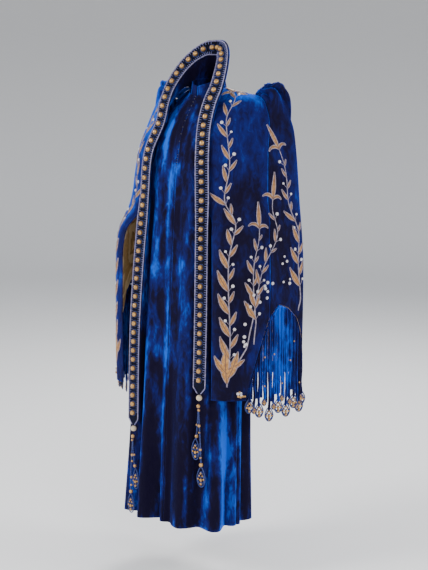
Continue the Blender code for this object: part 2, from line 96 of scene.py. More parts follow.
# front x, y, z, outermost x, y, z, back seam share, down and gap, squareness
mantleRows = np.array((
    (0.080, -0.004, 0.019, 0.172, 0.020, -0.028, 1.00, 0.000, 0.0065, 1.50),
    (0.077, -0.030, 0.016, 0.210, 0.042, -0.018, 0.88, 0.016, 0.0085, 1.30),
    (0.086, -0.062, -0.006, 0.244, 0.056, -0.024, 0.80, 0.040, 0.0070, 1.22),
    (0.090, -0.098, -0.044, 0.267, 0.064, -0.048, 0.75, 0.070, 0.0030, 1.18),
    (0.091, -0.126, -0.090, 0.284, 0.068, -0.095, 0.74, 0.100, 0.0014, 1.20),
    (0.104, -0.160, -0.178, 0.300, 0.064, -0.170, 0.735, 0.140, 0.0012, 1.36),
    (0.109, -0.168, -0.260, 0.312, 0.060, -0.256, 0.72, 0.185, 0.0012, 1.52),
    (0.114, -0.172, -0.330, 0.320, 0.058, -0.334, 0.71, 0.235, 0.0020, 1.62),
    (0.153, -0.174, -0.385, 0.326, 0.058, -0.396, 0.70, 0.278, 0.0050, 1.70),
    (0.182, -0.206, -0.440, 0.331, 0.058, -0.452, 0.70, 0.278, 0.0070, 1.65),
    (0.192, -0.217, -0.520, 0.336, 0.058, -0.530, 0.70, 0.278, 0.0090, 1.60),
    (0.193, -0.219, -0.640, 0.338, 0.056, -0.640, 0.70, 0.278, 0.0110, 1.60),
    (0.191, -0.220, -0.955, 0.338, 0.054, -0.955, 0.70, 0.278, 0.0120, 1.60),
))
# share and rise above the level hem
archRows = np.array((
    (0.000, 0.000), (0.250, 0.000), (0.270, 0.060), (0.310, 0.135), (0.350, 0.205), (0.385, 0.262),
    (0.440, 0.300), (0.500, 0.285), (0.570, 0.245), (0.660, 0.130), (0.760, 0.060), (1.000, 0.045),
))
mantleNames = ("frontX", "frontY", "frontZ", "outX", "outY", "outZ", "backShare", "backDown", "gap", "flat")

band = {
    "half": 0.025,
    "wall": 0.0030,
    "pitch": 0.030,
    "beadRadius": 0.0083,
    "leftTip": -0.945,
    "rightTip": -1.090,
    "rightInset": 0.007,
    "rightForward": 0.006,
    "braidRadius": 0.0013,
    "rungRadius": 0.0009,
}
bandLine = np.array((
    (0.000, 0.034, 0.146),
    (0.029, 0.020, 0.144),
    (0.053, 0.001, 0.128),
    (0.074, -0.028, 0.099),
    (0.088, -0.056, 0.064),
    (0.096, -0.082, 0.026),
    (0.095, -0.112, -0.022),
    (0.093, -0.136, -0.088),
    (0.112, -0.170, -0.178),
    (0.123, -0.184, -0.334),
    (0.134, -0.200, -0.520),
    (0.141, -0.212, -0.700),
    (0.142, -0.228, -1.100),
))
collarFoot = np.array((
    (0.0715, -0.012, 0.0165),
    (0.077, -0.032, 0.020),
    (0.083, -0.064, -0.001),
    (0.087, -0.100, -0.040),
    (0.090, -0.127, -0.090),
))


# Curves and surfaces.
def smoothRead(keys, values, at):
    # cubic through the values, each slope the weighted mean of its two neighbours
    keys = np.asarray(keys, float)
    values = np.asarray(values, float).reshape(len(keys), -1)
    at = np.clip(np.asarray(at, float), keys[0], keys[-1])
    step = np.diff(keys)[:, None]
    slope = np.diff(values, axis=0) / step
    tangent = np.zeros_like(values)
    tangent[0], tangent[-1] = slope[0], slope[-1]
    tangent[1:-1] = (slope[:-1] * step[1:] + slope[1:] * step[:-1]) / (step[:-1] + step[1:])
    place = np.clip(np.searchsorted(keys, at, side="right") - 1, 0, len(keys) - 2)
    width = (keys[place + 1] - keys[place])[..., None]
    part = (at - keys[place])[..., None] / width
    first, second = values[place], values[place + 1]
    rise, fall = tangent[place] * width, tangent[place + 1] * width
    square, cube = part ** 2, part ** 3
    near = (2 * cube - 3 * square + 1) * first + (cube - 2 * square + part) * rise
    return near + (3 * square - 2 * cube) * second + (cube - square) * fall


def unit(vectors):
    return vectors / (np.linalg.norm(vectors, axis=-1, keepdims=True) + 1e-12)


def roundedQuarter(share, power):
    # even steps round a quarter of |x|^power + |y|^power = 1
    turn = np.linspace(0, math.pi / 2, 721)
    across = np.sin(turn) ** (2 / power)
    along = np.cos(turn) ** (2 / power)
    length = np.concatenate([[0], np.cumsum(np.hypot(np.diff(across), np.diff(along)))])
    at = np.interp(share, length / length[-1], turn)
    return np.sin(at) ** (2 / power), np.clip(np.cos(at), 0, 1) ** (2 / power)


def bodySurface(share, down, piece):
    # share 0 is the middle of the piece and 1 its side; down 0 is the neck and shoulder, 1 the hem
    share, down = np.broadcast_arrays(np.asarray(share, float), np.asarray(down, float))
    behind = piece == "back"
    table = backTop if behind else frontTop
    top = smoothRead(table[:, 0], table[:, 1:], share)
    below = np.interp(down, (0, 0.16, 1), (-0.10, -0.24, coat["hemZ"]))
    size = smoothRead(-bodyRows[:, 0], bodyRows[:, 1:], -below)
    half, front, side, back, fold = np.moveaxis(size, -1, 0)
    across, along = roundedQuarter(share, 2.7 if behind else 3.3)
    depth = (back if behind else front) - side
    first, space = foldPlaces[piece]
    edge = np.clip(share / 0.10, 0, 1) * np.clip((1 - share) / 0.14, 0, 1)
    swell = fold * np.cos(2 * math.pi * (share - first) / space) * edge
    length = np.hypot(across * np.abs(depth), along * half) + 1e-9
    x = half * across + swell * across * np.abs(depth) / length
    y = side + depth * along + swell * along * half / length * np.sign(depth)
    blend = np.clip(down / 0.10, 0, 1)
    ease = blend * blend * (3 - 2 * blend)
    x = top[..., 0] + (x - top[..., 0]) * ease ** 0.8
    y = top[..., 1] + (y - top[..., 1]) * ease ** 0.75
    z = top[..., 2] + (below - top[..., 2]) * blend ** 1.15
    return np.stack([x, y, z], axis=-1)


def archBottom(share):
    # level, up round the arch and down again behind
    return coat["sleeveHemZ"] + np.interp(share, archRows[:, 0], archRows[:, 1])


def mantleSurface(share, down):
    # a bent sheet from the front edge (share 0) round the outermost line (0.62) to the back seam (1)
    share, down = np.broadcast_arrays(np.asarray(share, float), np.asarray(down, float))
    rows = len(mantleRows)
    place = np.where(down < 0.86, down / 0.86 * (rows - 2), rows - 2 + (down - 0.86) / 0.14)
    values = smoothRead(np.arange(rows), mantleRows, place)
    size = {name: values[..., i] for i, name in enumerate(mantleNames)}
    ahead = np.clip(share / 0.62, 0, 1)
    behind = np.clip((share - 0.62) / 0.38, 0, 1)
    reach = np.sin(ahead * math.pi / 2)
    keep = np.clip(np.cos(ahead * math.pi / 2), 0, 1) ** (2 / size["flat"])
    x = size["frontX"] + (size["outX"] - size["frontX"]) * reach
    y = size["outY"] + (size["frontY"] - size["outY"]) * keep
    z = size["frontZ"] + (size["outZ"] - size["frontZ"]) * ahead
    line = smoothRead(frontTop[3:, 1], frontTop[3:, 2:], x)
    rest = np.clip(1 - place, 0, 1) ** 1.5
    y = y + (line[..., 0] - y) * rest
    z = z + (line[..., 1] + 0.0045 - z) * rest
    seam = bodySurface(np.clip(size["backShare"], 0, 1), size["backDown"], "back")
    away = seam - np.array([0.0, -0.03, 0.0])
    away[..., 2] = 0.06 * np.clip(1 - place / 3, 0, 1)
    seam = seam + unit(away) * (size["gap"] + coat["wall"])[..., None]
    seam[..., 2] = np.where(place > 8, size["outZ"], seam[..., 2])
    wrap, turn = np.cos(behind * math.pi / 2), np.sin(behind * math.pi / 2)
    past = share > 0.62
    swell = mantle["fullness"] * np.sin(behind * math.pi) * np.clip(place / 3, 0, 1)
    x = np.where(past, seam[..., 0] + (size["outX"] - seam[..., 0]) * wrap, x)
    y = np.where(past, size["outY"] + (seam[..., 1] - size["outY"]) * turn + swell, y)
    z = np.where(past, size["outZ"] + (seam[..., 2] - size["outZ"]) * behind, z)
    floor = archBottom(share)
    z = np.where(place > 10, -0.525 + (floor + 0.525) * np.clip((place - 10) / 2, 0, 1), z)
    across = np.clip((share - mantle["seam"]) / (0.94 - mantle["seam"]), 0, 1)
    along = np.clip(place / 3.6, 0, 1)
    puff = np.sin(across * math.pi) ** 0.6 * np.sin(along ** 0.75 * math.pi) ** 0.8
    gather = 1 + 0.20 * np.cos(across * 2 * math.pi * mantle["puffGathers"]) * (1 - along)
    lift = mantle["puffHeight"] * puff * gather
    return np.stack([x + lift * 0.30, y, z + lift * 0.95], axis=-1)


def surfaceNormal(surface, share, down, step=0.002):
    # cross product of the two central differences
    across = surface(share + step, down) - surface(share - step, down)
    along = surface(share, down + step) - surface(share, down - step)
    return unit(np.cross(along, across))


def foldField(share, down):
    # creases that fan out of the shoulder end of the gathered seam, then soft waves toward the hem
    across = np.clip((share - mantle["seam"]) / (1 - mantle["seam"]), 0, 1)
    below = down / 0.34 - 0.10
    reach = np.hypot(across, below)
    angle = np.arctan2(below, across + 0.02)
    near = np.exp(-(reach / 0.62) ** 2) * np.clip(reach / 0.06, 0, 1) * np.clip(down / 0.03, 0, 1)
    fan = np.cos(angle * 15 + 1.5 * np.sin(reach * 7)) * near * (share > mantle["seam"])
    low = np.clip((down - 0.25) / 0.5, 0, 1)
    waves = 0.6 * np.sin(share * 21 + 2.2 * down) + 0.4 * np.sin(share * 37 - 4.1 * down + 1.3)
    edge = np.clip(share / 0.05, 0, 1) * np.clip((1 - share) / 0.05, 0, 1)
    join = np.clip(np.abs(share - mantle["seam"]) / 0.03, 0, 1)
    return (fan * mantle["gatherDepth"] + waves * low * mantle["rippleDepth"] * 0.8) * edge * join


def mantleCloth(share, down):
    share, down = np.broadcast_arrays(np.asarray(share, float), np.asarray(down, float))
    normal = surfaceNormal(mantleSurface, np.clip(share, 0.003, 0.997), np.clip(down, 0.003, 0.997))
    return mantleSurface(share, down) + normal * foldField(share, down)[..., None]


def onMantle(share, down, lift=0.0):
    # point of the velvet's outer face, and how high it stands off it
    share = np.clip(share, 0.003, 0.997)
    down = np.clip(down, 0.003, 0.997)
    normal = surfaceNormal(mantleCloth, share, down)
    return mantleCloth(share, down) + normal * (coat["wall"] + np.asarray(lift))[..., None], normal


def stepOnMantle(share, down, offset):
    # least-squares step in share and down that moves the point by the given vector
    step = 0.002
    across = (mantleSurface(share + step, down) - mantleSurface(share - step, down)) / (2 * step)
    along = (mantleSurface(share, down + step) - mantleSurface(share, down - step)) / (2 * step)
    aa, bb, ab = (across ** 2).sum(-1), (along ** 2).sum(-1), (across * along).sum(-1)
    ra, rb = (across * offset).sum(-1), (along * offset).sum(-1)
    scale = aa * bb - ab ** 2 + 1e-12
    return share + (bb * ra - ab * rb) / scale, down + (aa * rb - ab * ra) / scale


# Meshes.
def putMesh(name, points, faces, uv, material, slot, replaces=(), smooth=True):
    # faces is a list of index arrays, each with its own number of corners
    mesh = bpy.data.meshes.new(name)
    flat = [corner for group in faces for corner in group.tolist()]
    mesh.from_pydata(points.reshape(-1, 3).tolist(), [], flat)
    if uv is not None:
        order = np.concatenate([group.ravel() for group in faces])
        layer = mesh.uv_layers.new(name="UVMap")
        layer.data.foreach_set("uv", uv.reshape(-1, 2)[order].astype(np.float32).ravel())
    mesh.polygons.foreach_set("use_smooth", np.full(len(mesh.polygons), smooth))
    mesh.materials.append(material)
    mesh.update()
    piece = bpy.data.objects.new(name, mesh)
    bpy.context.scene.collection.objects.link(piece)
    if replaces:
        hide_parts(*replaces)
    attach(piece, "root")
    return piece


def gridFaces(rows, columns, wrap=False, first=0):
    index = first + np.arange(rows * columns).reshape(rows, columns)
    right = np.roll(index, -1, axis=1) if wrap else index[:, 1:]
    left = index if wrap else index[:, :-1]
    return np.stack([left[:-1], right[:-1], right[1:], left[1:]], axis=-1).reshape(-1, 4)


def gridNormals(points):
    return unit(np.cross(np.gradient(points, axis=1), np.gradient(points, axis=0)))


def arcs(points, axis):
    # running length of the grid lines along one axis
    step = np.linalg.norm(np.diff(points, axis=axis), axis=-1)
    start = np.zeros_like(points[..., 0].take([0], axis=axis))
    return np.concatenate([start, np.cumsum(step, axis=axis)], axis=axis)


def clothShell(points, thickness, middle):
    # grid, a second grid along its normals, and a rim between the two; UV in metres of cloth
    normal = gridNormals(points)
    if (normal * (points - np.asarray(middle))).sum() < 0:
        points = points[:, ::-1]
        normal = gridNormals(points)
    rows, columns = points.shape[:2]
    total = rows * columns
    outer = points + normal * thickness
    face = gridFaces(rows, columns)
    index = np.arange(total).reshape(rows, columns)
    rim = np.concatenate([index[0, :-1], index[:-1, -1], index[-1, :0:-1], index[:0:-1, 0]])
    after = np.roll(rim, -1)
    edge = np.stack([rim, rim + total, after + total, after], axis=-1)
    uv = np.stack([arcs(points, 1), arcs(points, 0)], axis=-1)
    # outer grid first, facing out, then the inner one turned round
    verts = np.concatenate([outer.reshape(-1, 3), points.reshape(-1, 3)])
    faces = [face, face[:, ::-1] + total, edge]
    return verts, faces, np.concatenate([uv.reshape(-1, 2), uv.reshape(-1, 2)])


def signedVolume(points, quads):
    a, b, c, d = (points[quads[:, i]] for i in range(4))
    return (a * np.cross(b, c)).sum() + (a * np.cross(c, d)).sum()


def flatCut(points):
    # widest row, longest column and the area of the cloth itself
    across = arcs(points, 1)[:, -1].max()
    along = arcs(points, 0)[-1].max()
    sides = np.cross(points[:-1, 1:] - points[:-1, :-1], points[1:, :-1] - points[:-1, :-1])
    return float(across), float(along), float(np.linalg.norm(sides, axis=-1).sum())


def clothPiece(name, points, material, slot, node, thickness=None, middle=(0, 0, -0.6)):
    verts, faces, uv = clothShell(points, thickness or coat["wall"], middle)
    if signedVolume(verts, np.concatenate(faces)) < 0:
        faces = [group[:, ::-1] for group in faces]
    piece = putMesh(name, verts, faces, uv, material, slot, (node,))
    width, length, area = flatCut(points)
    print("%s cut %.3f x %.3f m, %.3f m2" % (name, width, length, area))
    return piece


def mirrored(points, side):
    return points * np.array([1.0 if side == "left" else -1.0, 1.0, 1.0])


def sweep(paths, normals, halfWidth, height, sides=8, closed=False, lower=-0.35):
    # flattened rings carried along many paths at once: b cos t sideways, n max(sin t, lower) up
    if closed:
        tangent = unit(np.roll(paths, -1, axis=1) - np.roll(paths, 1, axis=1))
    else:
        tangent = unit(np.gradient(paths, axis=1))
    sideways = unit(np.cross(tangent, normals))
    upward = unit(np.cross(sideways, tangent))
    turn = np.linspace(0, 2 * math.pi, sides, endpoint=False)
    wide = np.broadcast_to(halfWidth, paths.shape[:2])[..., None, None]
    high = np.broadcast_to(height, paths.shape[:2])[..., None, None]
    ring = (paths[:, :, None] + sideways[:, :, None] * wide * np.cos(turn)[:, None]
            + upward[:, :, None] * high * np.maximum(np.sin(turn), lower)[:, None])
    count, length = paths.shape[:2]
    index = np.arange(count * length * sides).reshape(count, length, sides)
    around = np.roll(index, -1, axis=2)
    if closed:
        quads = np.stack([index, around, np.roll(around, -1, axis=1), np.roll(index, -1, axis=1)], axis=-1)
        faces = [quads.reshape(-1, 4)]
    else:
        quads = np.stack([index[:, :-1], around[:, :-1], around[:, 1:], index[:, 1:]], axis=-1)
        faces = [quads.reshape(-1, 4), index[:, 0, ::-1], index[:, -1]]
    step = np.linalg.norm(np.diff(paths, axis=1), axis=-1)
    run = np.concatenate([np.zeros((count, 1)), np.cumsum(step, axis=1)], axis=1)
    uv = np.stack([np.broadcast_to((np.cos(turn)[None, None] * wide[..., 0]), ring.shape[:3]),
                   np.broadcast_to(run[:, :, None], ring.shape[:3])], axis=-1)
    points = ring.reshape(-1, 3)
    if signedVolume(points, faces[0]) < 0:
        faces = [group[:, ::-1] for group in faces]
    return points, faces, uv.reshape(-1, 2)


def ballShape(levels=7, sides=12, waist=0.0):
    # sphere by latitude and longitude, poles closed by fans; a waist groove gives a turned bead
    level = np.linspace(0, math.pi, levels + 2)[1:-1]
    turn = np.linspace(0, 2 * math.pi, sides, endpoint=False)
    radius = np.sin(level) * (1 - waist * np.exp(-((level - math.pi / 2) / 0.16) ** 2))
    ring = np.stack([radius[:, None] * np.cos(turn), radius[:, None] * np.sin(turn),
                     np.broadcast_to(np.cos(level)[:, None], (levels, sides))], axis=-1).reshape(-1, 3)
    points = np.concatenate([ring, [[0, 0, 1.0], [0, 0, -1.0]]])
    ids = np.arange(sides)
    last = (levels - 1) * sides
    top = np.stack([np.full(sides, levels * sides), ids, np.roll(ids, -1)], axis=-1)
    low = np.stack([np.full(sides, levels * sides + 1), last + np.roll(ids, -1), last + ids], axis=-1)
    return points, gridFaces(levels, sides, wrap=True)[:, ::-1], np.concatenate([top, low])


def scatter(shape, middles, radii, frames=None):
    # copies of one closed shape, turned by each frame's three directions
    points, quads, fans = shape
    middles = np.asarray(middles, float).reshape(-1, 3)
    radii = np.broadcast_to(np.asarray(radii, float).reshape(-1, 1), (len(middles), 3)) \
        if np.ndim(radii) < 2 else np.asarray(radii)
    local = points[None] * radii[:, None]
    if frames is not None:
        local = np.einsum("kvi,kij->kvj", local, frames)
    world = (middles[:, None] + local).reshape(-1, 3)
    shift = (np.arange(len(middles)) * len(points))[:, None, None]
    faces = [(quads[None] + shift).reshape(-1, 4), (fans[None] + shift).reshape(-1, 3)]
    if signedVolume(points, quads) < 0:
        faces = [group[:, ::-1] for group in faces]
    return world, faces, world[:, :2] * 0.5


def gathered(parts):
    # several (points, faces, uv) sets made one
    points, faces, uvs, count = [], [], [], 0
    for part in parts:
        points.append(part[0])
        uvs.append(part[2])
        faces += [group + count for group in part[1]]
        count += len(part[0])
    return np.concatenate(points), faces, np.concatenate(uvs)


def flipped(part, side):
    # the wearer's right is the mirror of the left, with its faces turned back outward
    if side == "left":
        return part
    return part[0] * np.array([-1.0, 1.0, 1.0]), [group[:, ::-1] for group in part[1]], part[2]


# Finishes.
def nodeGroup(name, inputs, outputs):
    group = bpy.data.node_groups.new(name, "ShaderNodeTree")
    for label, kind, value in inputs:
        socket = group.interface.new_socket(label, in_out="INPUT", socket_type="NodeSocket" + kind)
        if value is not None:
            socket.default_value = value
    for label, kind in outputs:
        group.interface.new_socket(label, in_out="OUTPUT", socket_type="NodeSocket" + kind)
    return group, group.nodes.new("NodeGroupInput"), group.nodes.new("NodeGroupOutput")


def addNode(tree, kind, settings=None, **sockets):
    node = tree.nodes.new("ShaderNode" + kind)
    for key, value in (settings or {}).items():
        setattr(node, key, value)
    for label, value in sockets.items():
        socket = node.inputs[int(label[1:])] if label[0] == "i" and label[1:].isdigit() else node.inputs[label]
        if isinstance(value, bpy.types.NodeSocket):
            tree.links.new(value, socket)
        else:
            socket.default_value = value
    return node


def buildPile():
    # velvet pile: long streaks down the folds, crushed patches, finer strokes, and the tufts
    group, given, result = nodeGroup("velvet pile", [
        ("Vector", "Vector", None), ("Patch scale", "Float", 7.0), ("Stroke scale", "Float", 52.0),
        ("Contrast", "Float", 1.0), ("Streak", "Float", 0.8)], [("Crush", "Float"), ("Height", "Float")])
    vector = given.outputs["Vector"]
    patch = addNode(group, "TexNoise", None, Vector=vector, Scale=given.outputs["Patch scale"],
                    Detail=5.0, Roughness=0.62, Distortion=0.5)
    stroke = addNode(group, "TexNoise", None, Vector=vector,
                     Scale=given.outputs["Stroke scale"], Detail=4.0, Roughness=0.6, Distortion=1.1)
    drawn = addNode(group, "VectorMath", {"operation": "MULTIPLY"}, i0=vector, i1=(1.0, 1.0, 0.14))
    streak = addNode(group, "TexNoise", None, Vector=drawn.outputs[0], Scale=19.0, Detail=2.0, Distortion=0.4)
    both = addNode(group, "Math", {"operation": "MULTIPLY_ADD"}, i0=stroke.outputs["Fac"], i1=0.50,
                   i2=patch.outputs["Fac"])
    level = addNode(group, "Math", {"operation": "SUBTRACT"}, i0=streak.outputs["Fac"], i1=0.5)
    summed = addNode(group, "Math", {"operation": "MULTIPLY_ADD"}, i0=level.outputs[0],
                     i1=given.outputs["Streak"], i2=both.outputs[0])
    centred = addNode(group, "Math", {"operation": "SUBTRACT"}, i0=summed.outputs[0], i1=0.75)
    strong = addNode(group, "Math", {"operation": "MULTIPLY_ADD"}, i0=centred.outputs[0],
                     i1=given.outputs["Contrast"], i2=0.5)
    kept = addNode(group, "Clamp", None, Value=strong.outputs[0])
    tuft = addNode(group, "TexNoise", None, Vector=vector, Scale=900.0, Detail=2.0)
    height = addNode(group, "Math", {"operation": "MULTIPLY_ADD"}, i0=tuft.outputs["Fac"], i1=0.25,
                     i2=both.outputs[0])
    group.links.new(kept.outputs[0], result.inputs["Crush"])
    group.links.new(height.outputs[0], result.inputs["Height"])
    return group


def buildStitches():
    # rows of thread: a wave across the UV, broken up by noise so that no two stitches match
    group, given, result = nodeGroup("thread rows", [
        ("Vector", "Vector", None), ("Rows per metre", "Float", 700.0), ("Slant", "Float", 0.6)],
        [("Thread", "Float"), ("Shade", "Float")])
    turned = addNode(group, "Mapping", {"vector_type": "POINT"}, Vector=given.outputs["Vector"])
    spin = addNode(group, "CombineXYZ", None, Z=given.outputs["Slant"])
    group.links.new(spin.outputs[0], turned.inputs["Rotation"])
    rows = addNode(group, "Math", {"operation": "MULTIPLY"}, i0=given.outputs["Rows per metre"], i1=0.159)
    wave = addNode(group, "TexWave", {"wave_type": "BANDS", "bands_direction": "Y"},
                   Vector=turned.outputs[0], Scale=rows.outputs[0], Distortion=0.6, Detail=1.0)
    noise = addNode(group, "TexNoise", None, Vector=given.outputs["Vector"], Scale=90.0, Detail=4.0)
    spread = addNode(group, "MapRange", {"interpolation_type": "SMOOTHSTEP"}, Value=noise.outputs["Fac"])
    spread.inputs["From Min"].default_value = 0.32
    spread.inputs["From Max"].default_value = 0.68
    group.links.new(wave.outputs["Fac"], result.inputs["Thread"])
    group.links.new(spread.outputs[0], result.inputs["Shade"])
    return group


def buildWear():
    # handling wear: dull patches and small pits
    group, given, result = nodeGroup("handled wear", [
        ("Vector", "Vector", None), ("Scale", "Float", 60.0)], [("Dull", "Float"), ("Pits", "Float")])
    dull = addNode(group, "TexNoise", None, Vector=given.outputs["Vector"], Scale=given.outputs["Scale"],
                   Detail=4.0)
    pits = addNode(group, "TexVoronoi", {"feature": "F1"}, Vector=given.outputs["Vector"], Scale=420.0)
    group.links.new(dull.outputs["Fac"], result.inputs["Dull"])
    group.links.new(pits.outputs["Distance"], result.inputs["Pits"])
    return group


pileGroup, threadGroup, wearGroup = buildPile(), buildStitches(), buildWear()


def emptyMaterial(name, roughness, metallic=0.0, sheen=0.0, sheenTint=(1, 1, 1), sheenRoughness=0.4):
    found = bpy.data.materials.new(name)
    found.use_nodes = True
    tree = found.node_tree
    shader = tree.nodes["Principled BSDF"]
    shader.inputs["Roughness"].default_value = roughness
    shader.inputs["Metallic"].default_value = metallic
    shader.inputs["Sheen Weight"].default_value = sheen
    shader.inputs["Sheen Tint"].default_value = (*sheenTint, 1.0)
    shader.inputs["Sheen Roughness"].default_value = sheenRoughness
    where = tree.nodes.new("ShaderNodeTexCoord")
    return found, tree, shader, where


def placeGroup(tree, group, vector, **values):
    node = tree.nodes.new("ShaderNodeGroup")
    node.node_tree = group
    tree.links.new(vector, node.inputs["Vector"])
    for label, value in values.items():
        node.inputs[label.replace("_", " ")].default_value = value
    return node


def mixColours(tree, factor, first, second):
    node = tree.nodes.new("ShaderNodeMix")
    node.data_type = "RGBA"
    for socket, value in zip((node.inputs[0], node.inputs[6], node.inputs[7]), (factor, first, second)):
        if isinstance(value, bpy.types.NodeSocket):
            tree.links.new(value, socket)
        else:
            socket.default_value = value if np.ndim(value) == 0 else (*value, 1.0)
    return node.outputs[2]


def bumped(tree, shader, height, strength, distance):
    bump = addNode(tree, "Bump", None, Height=height, Strength=strength, Distance=distance)
    tree.links.new(bump.outputs["Normal"], shader.inputs["Normal"])


def velvet(name, colours, patch=9.0, contrast=1.9, lean=0.0, streak=0.8, lift=0.16):
    # painted sheen in the base colour: pile seen end-on is painted nearly black and pile seen from its side bright, by
    # facing plus crushed patches, with a painted highlight near the shoulders; colours run deep, middle, bright
    found, tree, shader, where = emptyMaterial(name, 0.85, 0.0, 0.16, (0.02, 0.10, 1.0), 0.35)
    stretch = addNode(tree, "Mapping", None, Vector=where.outputs["Object"])
    stretch.inputs["Scale"].default_value = (1.0, 1.0, 0.45)
    pile = placeGroup(tree, pileGroup, stretch.outputs[0], Patch_scale=patch, Contrast=contrast, Streak=streak)
    # painted sheen: the facing term lightens the base colour where the pile is seen from its side
    facing = addNode(tree, "LayerWeight", None, Blend=0.40)
    turned = addNode(tree, "Math", {"operation": "MULTIPLY_ADD"}, i0=facing.outputs["Facing"], i1=0.62,
                     i2=pile.outputs["Crush"])
    # painted highlight: the base colour is lifted by up to lift from z -0.50 up to -0.08, toward the shoulders
    place = addNode(tree, "SeparateXYZ", None, Vector=where.outputs["Object"])
    high = addNode(tree, "MapRange", {"interpolation_type": "SMOOTHSTEP"}, Value=place.outputs["Z"])
    high.inputs["From Min"].default_value = -0.50
    high.inputs["From Max"].default_value = -0.08
    high.inputs["To Min"].default_value = 0.0
    high.inputs["To Max"].default_value = lift
    total = addNode(tree, "Math", {"operation": "ADD"}, i0=turned.outputs[0], i1=high.outputs[0])
    shade = colours[0]
    for start, colour in ((0.36, colours[1]), (0.72, colours[2])):
        level = addNode(tree, "MapRange", {"interpolation_type": "SMOOTHSTEP"}, Value=total.outputs[0])
        level.inputs["From Min"].default_value = start - lean
        level.inputs["From Max"].default_value = start + 0.52 - lean
        shade = mixColours(tree, level.outputs[0], shade, colour)
    tree.links.new(shade, shader.inputs["Base Color"])
    rough = addNode(tree, "MapRange", None, Value=pile.outputs["Crush"])
    rough.inputs["To Min"].default_value = 0.95
    rough.inputs["To Max"].default_value = 0.70
    tree.links.new(rough.outputs[0], shader.inputs["Roughness"])
    bumped(tree, shader, pile.outputs["Height"], 0.55, 0.006)
    shader.inputs["Specular IOR Level"].default_value = 0.12
    return found


def threadWork(name, first, second, rows, metallic, roughness, slant=0.6):
    found, tree, shader, where = emptyMaterial(name, roughness, metallic)
    thread = placeGroup(tree, threadGroup, where.outputs["UV"], Rows_per_metre=rows, Slant=slant)
    tree.links.new(mixColours(tree, thread.outputs["Shade"], first, second), shader.inputs["Base Color"])
    bumped(tree, shader, thread.outputs["Thread"], 0.7, 0.0006)
    return found


def leafWork(name, first, second, grooveShade):
    # satin stitch with painted shade down the middle groove, a dark line where |u| is under about a millimetre
    found, tree, shader, where = emptyMaterial(name, 0.50, 0.15)
    thread = placeGroup(tree, threadGroup, where.outputs["UV"], Rows_per_metre=560.0, Slant=0.7)
    fill = mixColours(tree, thread.outputs["Shade"], first, second)
    parts = addNode(tree, "SeparateXYZ", None, Vector=where.outputs["UV"])
    aside = addNode(tree, "Math", {"operation": "ABSOLUTE"}, i0=parts.outputs["X"])
    clear = addNode(tree, "MapRange", {"interpolation_type": "SMOOTHSTEP"}, Value=aside.outputs[0])
    clear.inputs["From Min"].default_value = 0.0005
    clear.inputs["From Max"].default_value = 0.0020
    tree.links.new(mixColours(tree, clear.outputs[0], grooveShade, fill), shader.inputs["Base Color"])
    bumped(tree, shader, thread.outputs["Thread"], 0.7, 0.0006)
    return found


def turnedBead(name, light, dark, metallic, roughness, coatWeight=0.0):
    found, tree, shader, where = emptyMaterial(name, roughness, metallic)
    wear = placeGroup(tree, wearGroup, where.outputs["Object"], Scale=70.0)
    tree.links.new(mixColours(tree, wear.outputs["Dull"], light, dark), shader.inputs["Base Color"])
    shader.inputs["Coat Weight"].default_value = coatWeight
    bumped(tree, shader, wear.outputs["Pits"], 0.15, 0.0005)
    return found


def brocade():
    # satin ground with a woven figure: scrolls from a warped voronoi, all in UV metres
    found, tree, shader, where = emptyMaterial("figured brocade", 0.45, 0.15, 0.25, (1.0, 0.8, 0.5))
    warp = addNode(tree, "TexNoise", None, Vector=where.outputs["UV"], Scale=14.0, Detail=2.0)
    bent = addNode(tree, "VectorMath", {"operation": "MULTIPLY_ADD"}, i0=warp.outputs["Color"],
                   i1=(0.07, 0.07, 0.0), i2=where.outputs["UV"])
    cells = addNode(tree, "TexVoronoi", {"feature": "SMOOTH_F1"}, Vector=bent.outputs[0], Scale=15.0)
    petals = addNode(tree, "Math", {"operation": "SINE"}, i0=addNode(
        tree, "Math", {"operation": "MULTIPLY"}, i0=cells.outputs["Distance"], i1=17.0).outputs[0])
    figure = addNode(tree, "MapRange", {"interpolation_type": "SMOOTHSTEP"}, Value=petals.outputs[0])
    figure.inputs["From Min"].default_value = -0.15
    figure.inputs["From Max"].default_value = 0.35
    thread = placeGroup(tree, threadGroup, where.outputs["UV"], Rows_per_metre=1500.0, Slant=0.0)
    ground = mixColours(tree, thread.outputs["Shade"], (0.46, 0.27, 0.10), (0.62, 0.39, 0.16))
    tree.links.new(mixColours(tree, figure.outputs[0], ground, (0.95, 0.74, 0.42)), shader.inputs["Base Color"])
    height = addNode(tree, "Math", {"operation": "MULTIPLY_ADD"}, i0=thread.outputs["Thread"], i1=0.25,
                     i2=figure.outputs[0])
    bumped(tree, shader, height.outputs[0], 0.5, 0.0008)
    return found


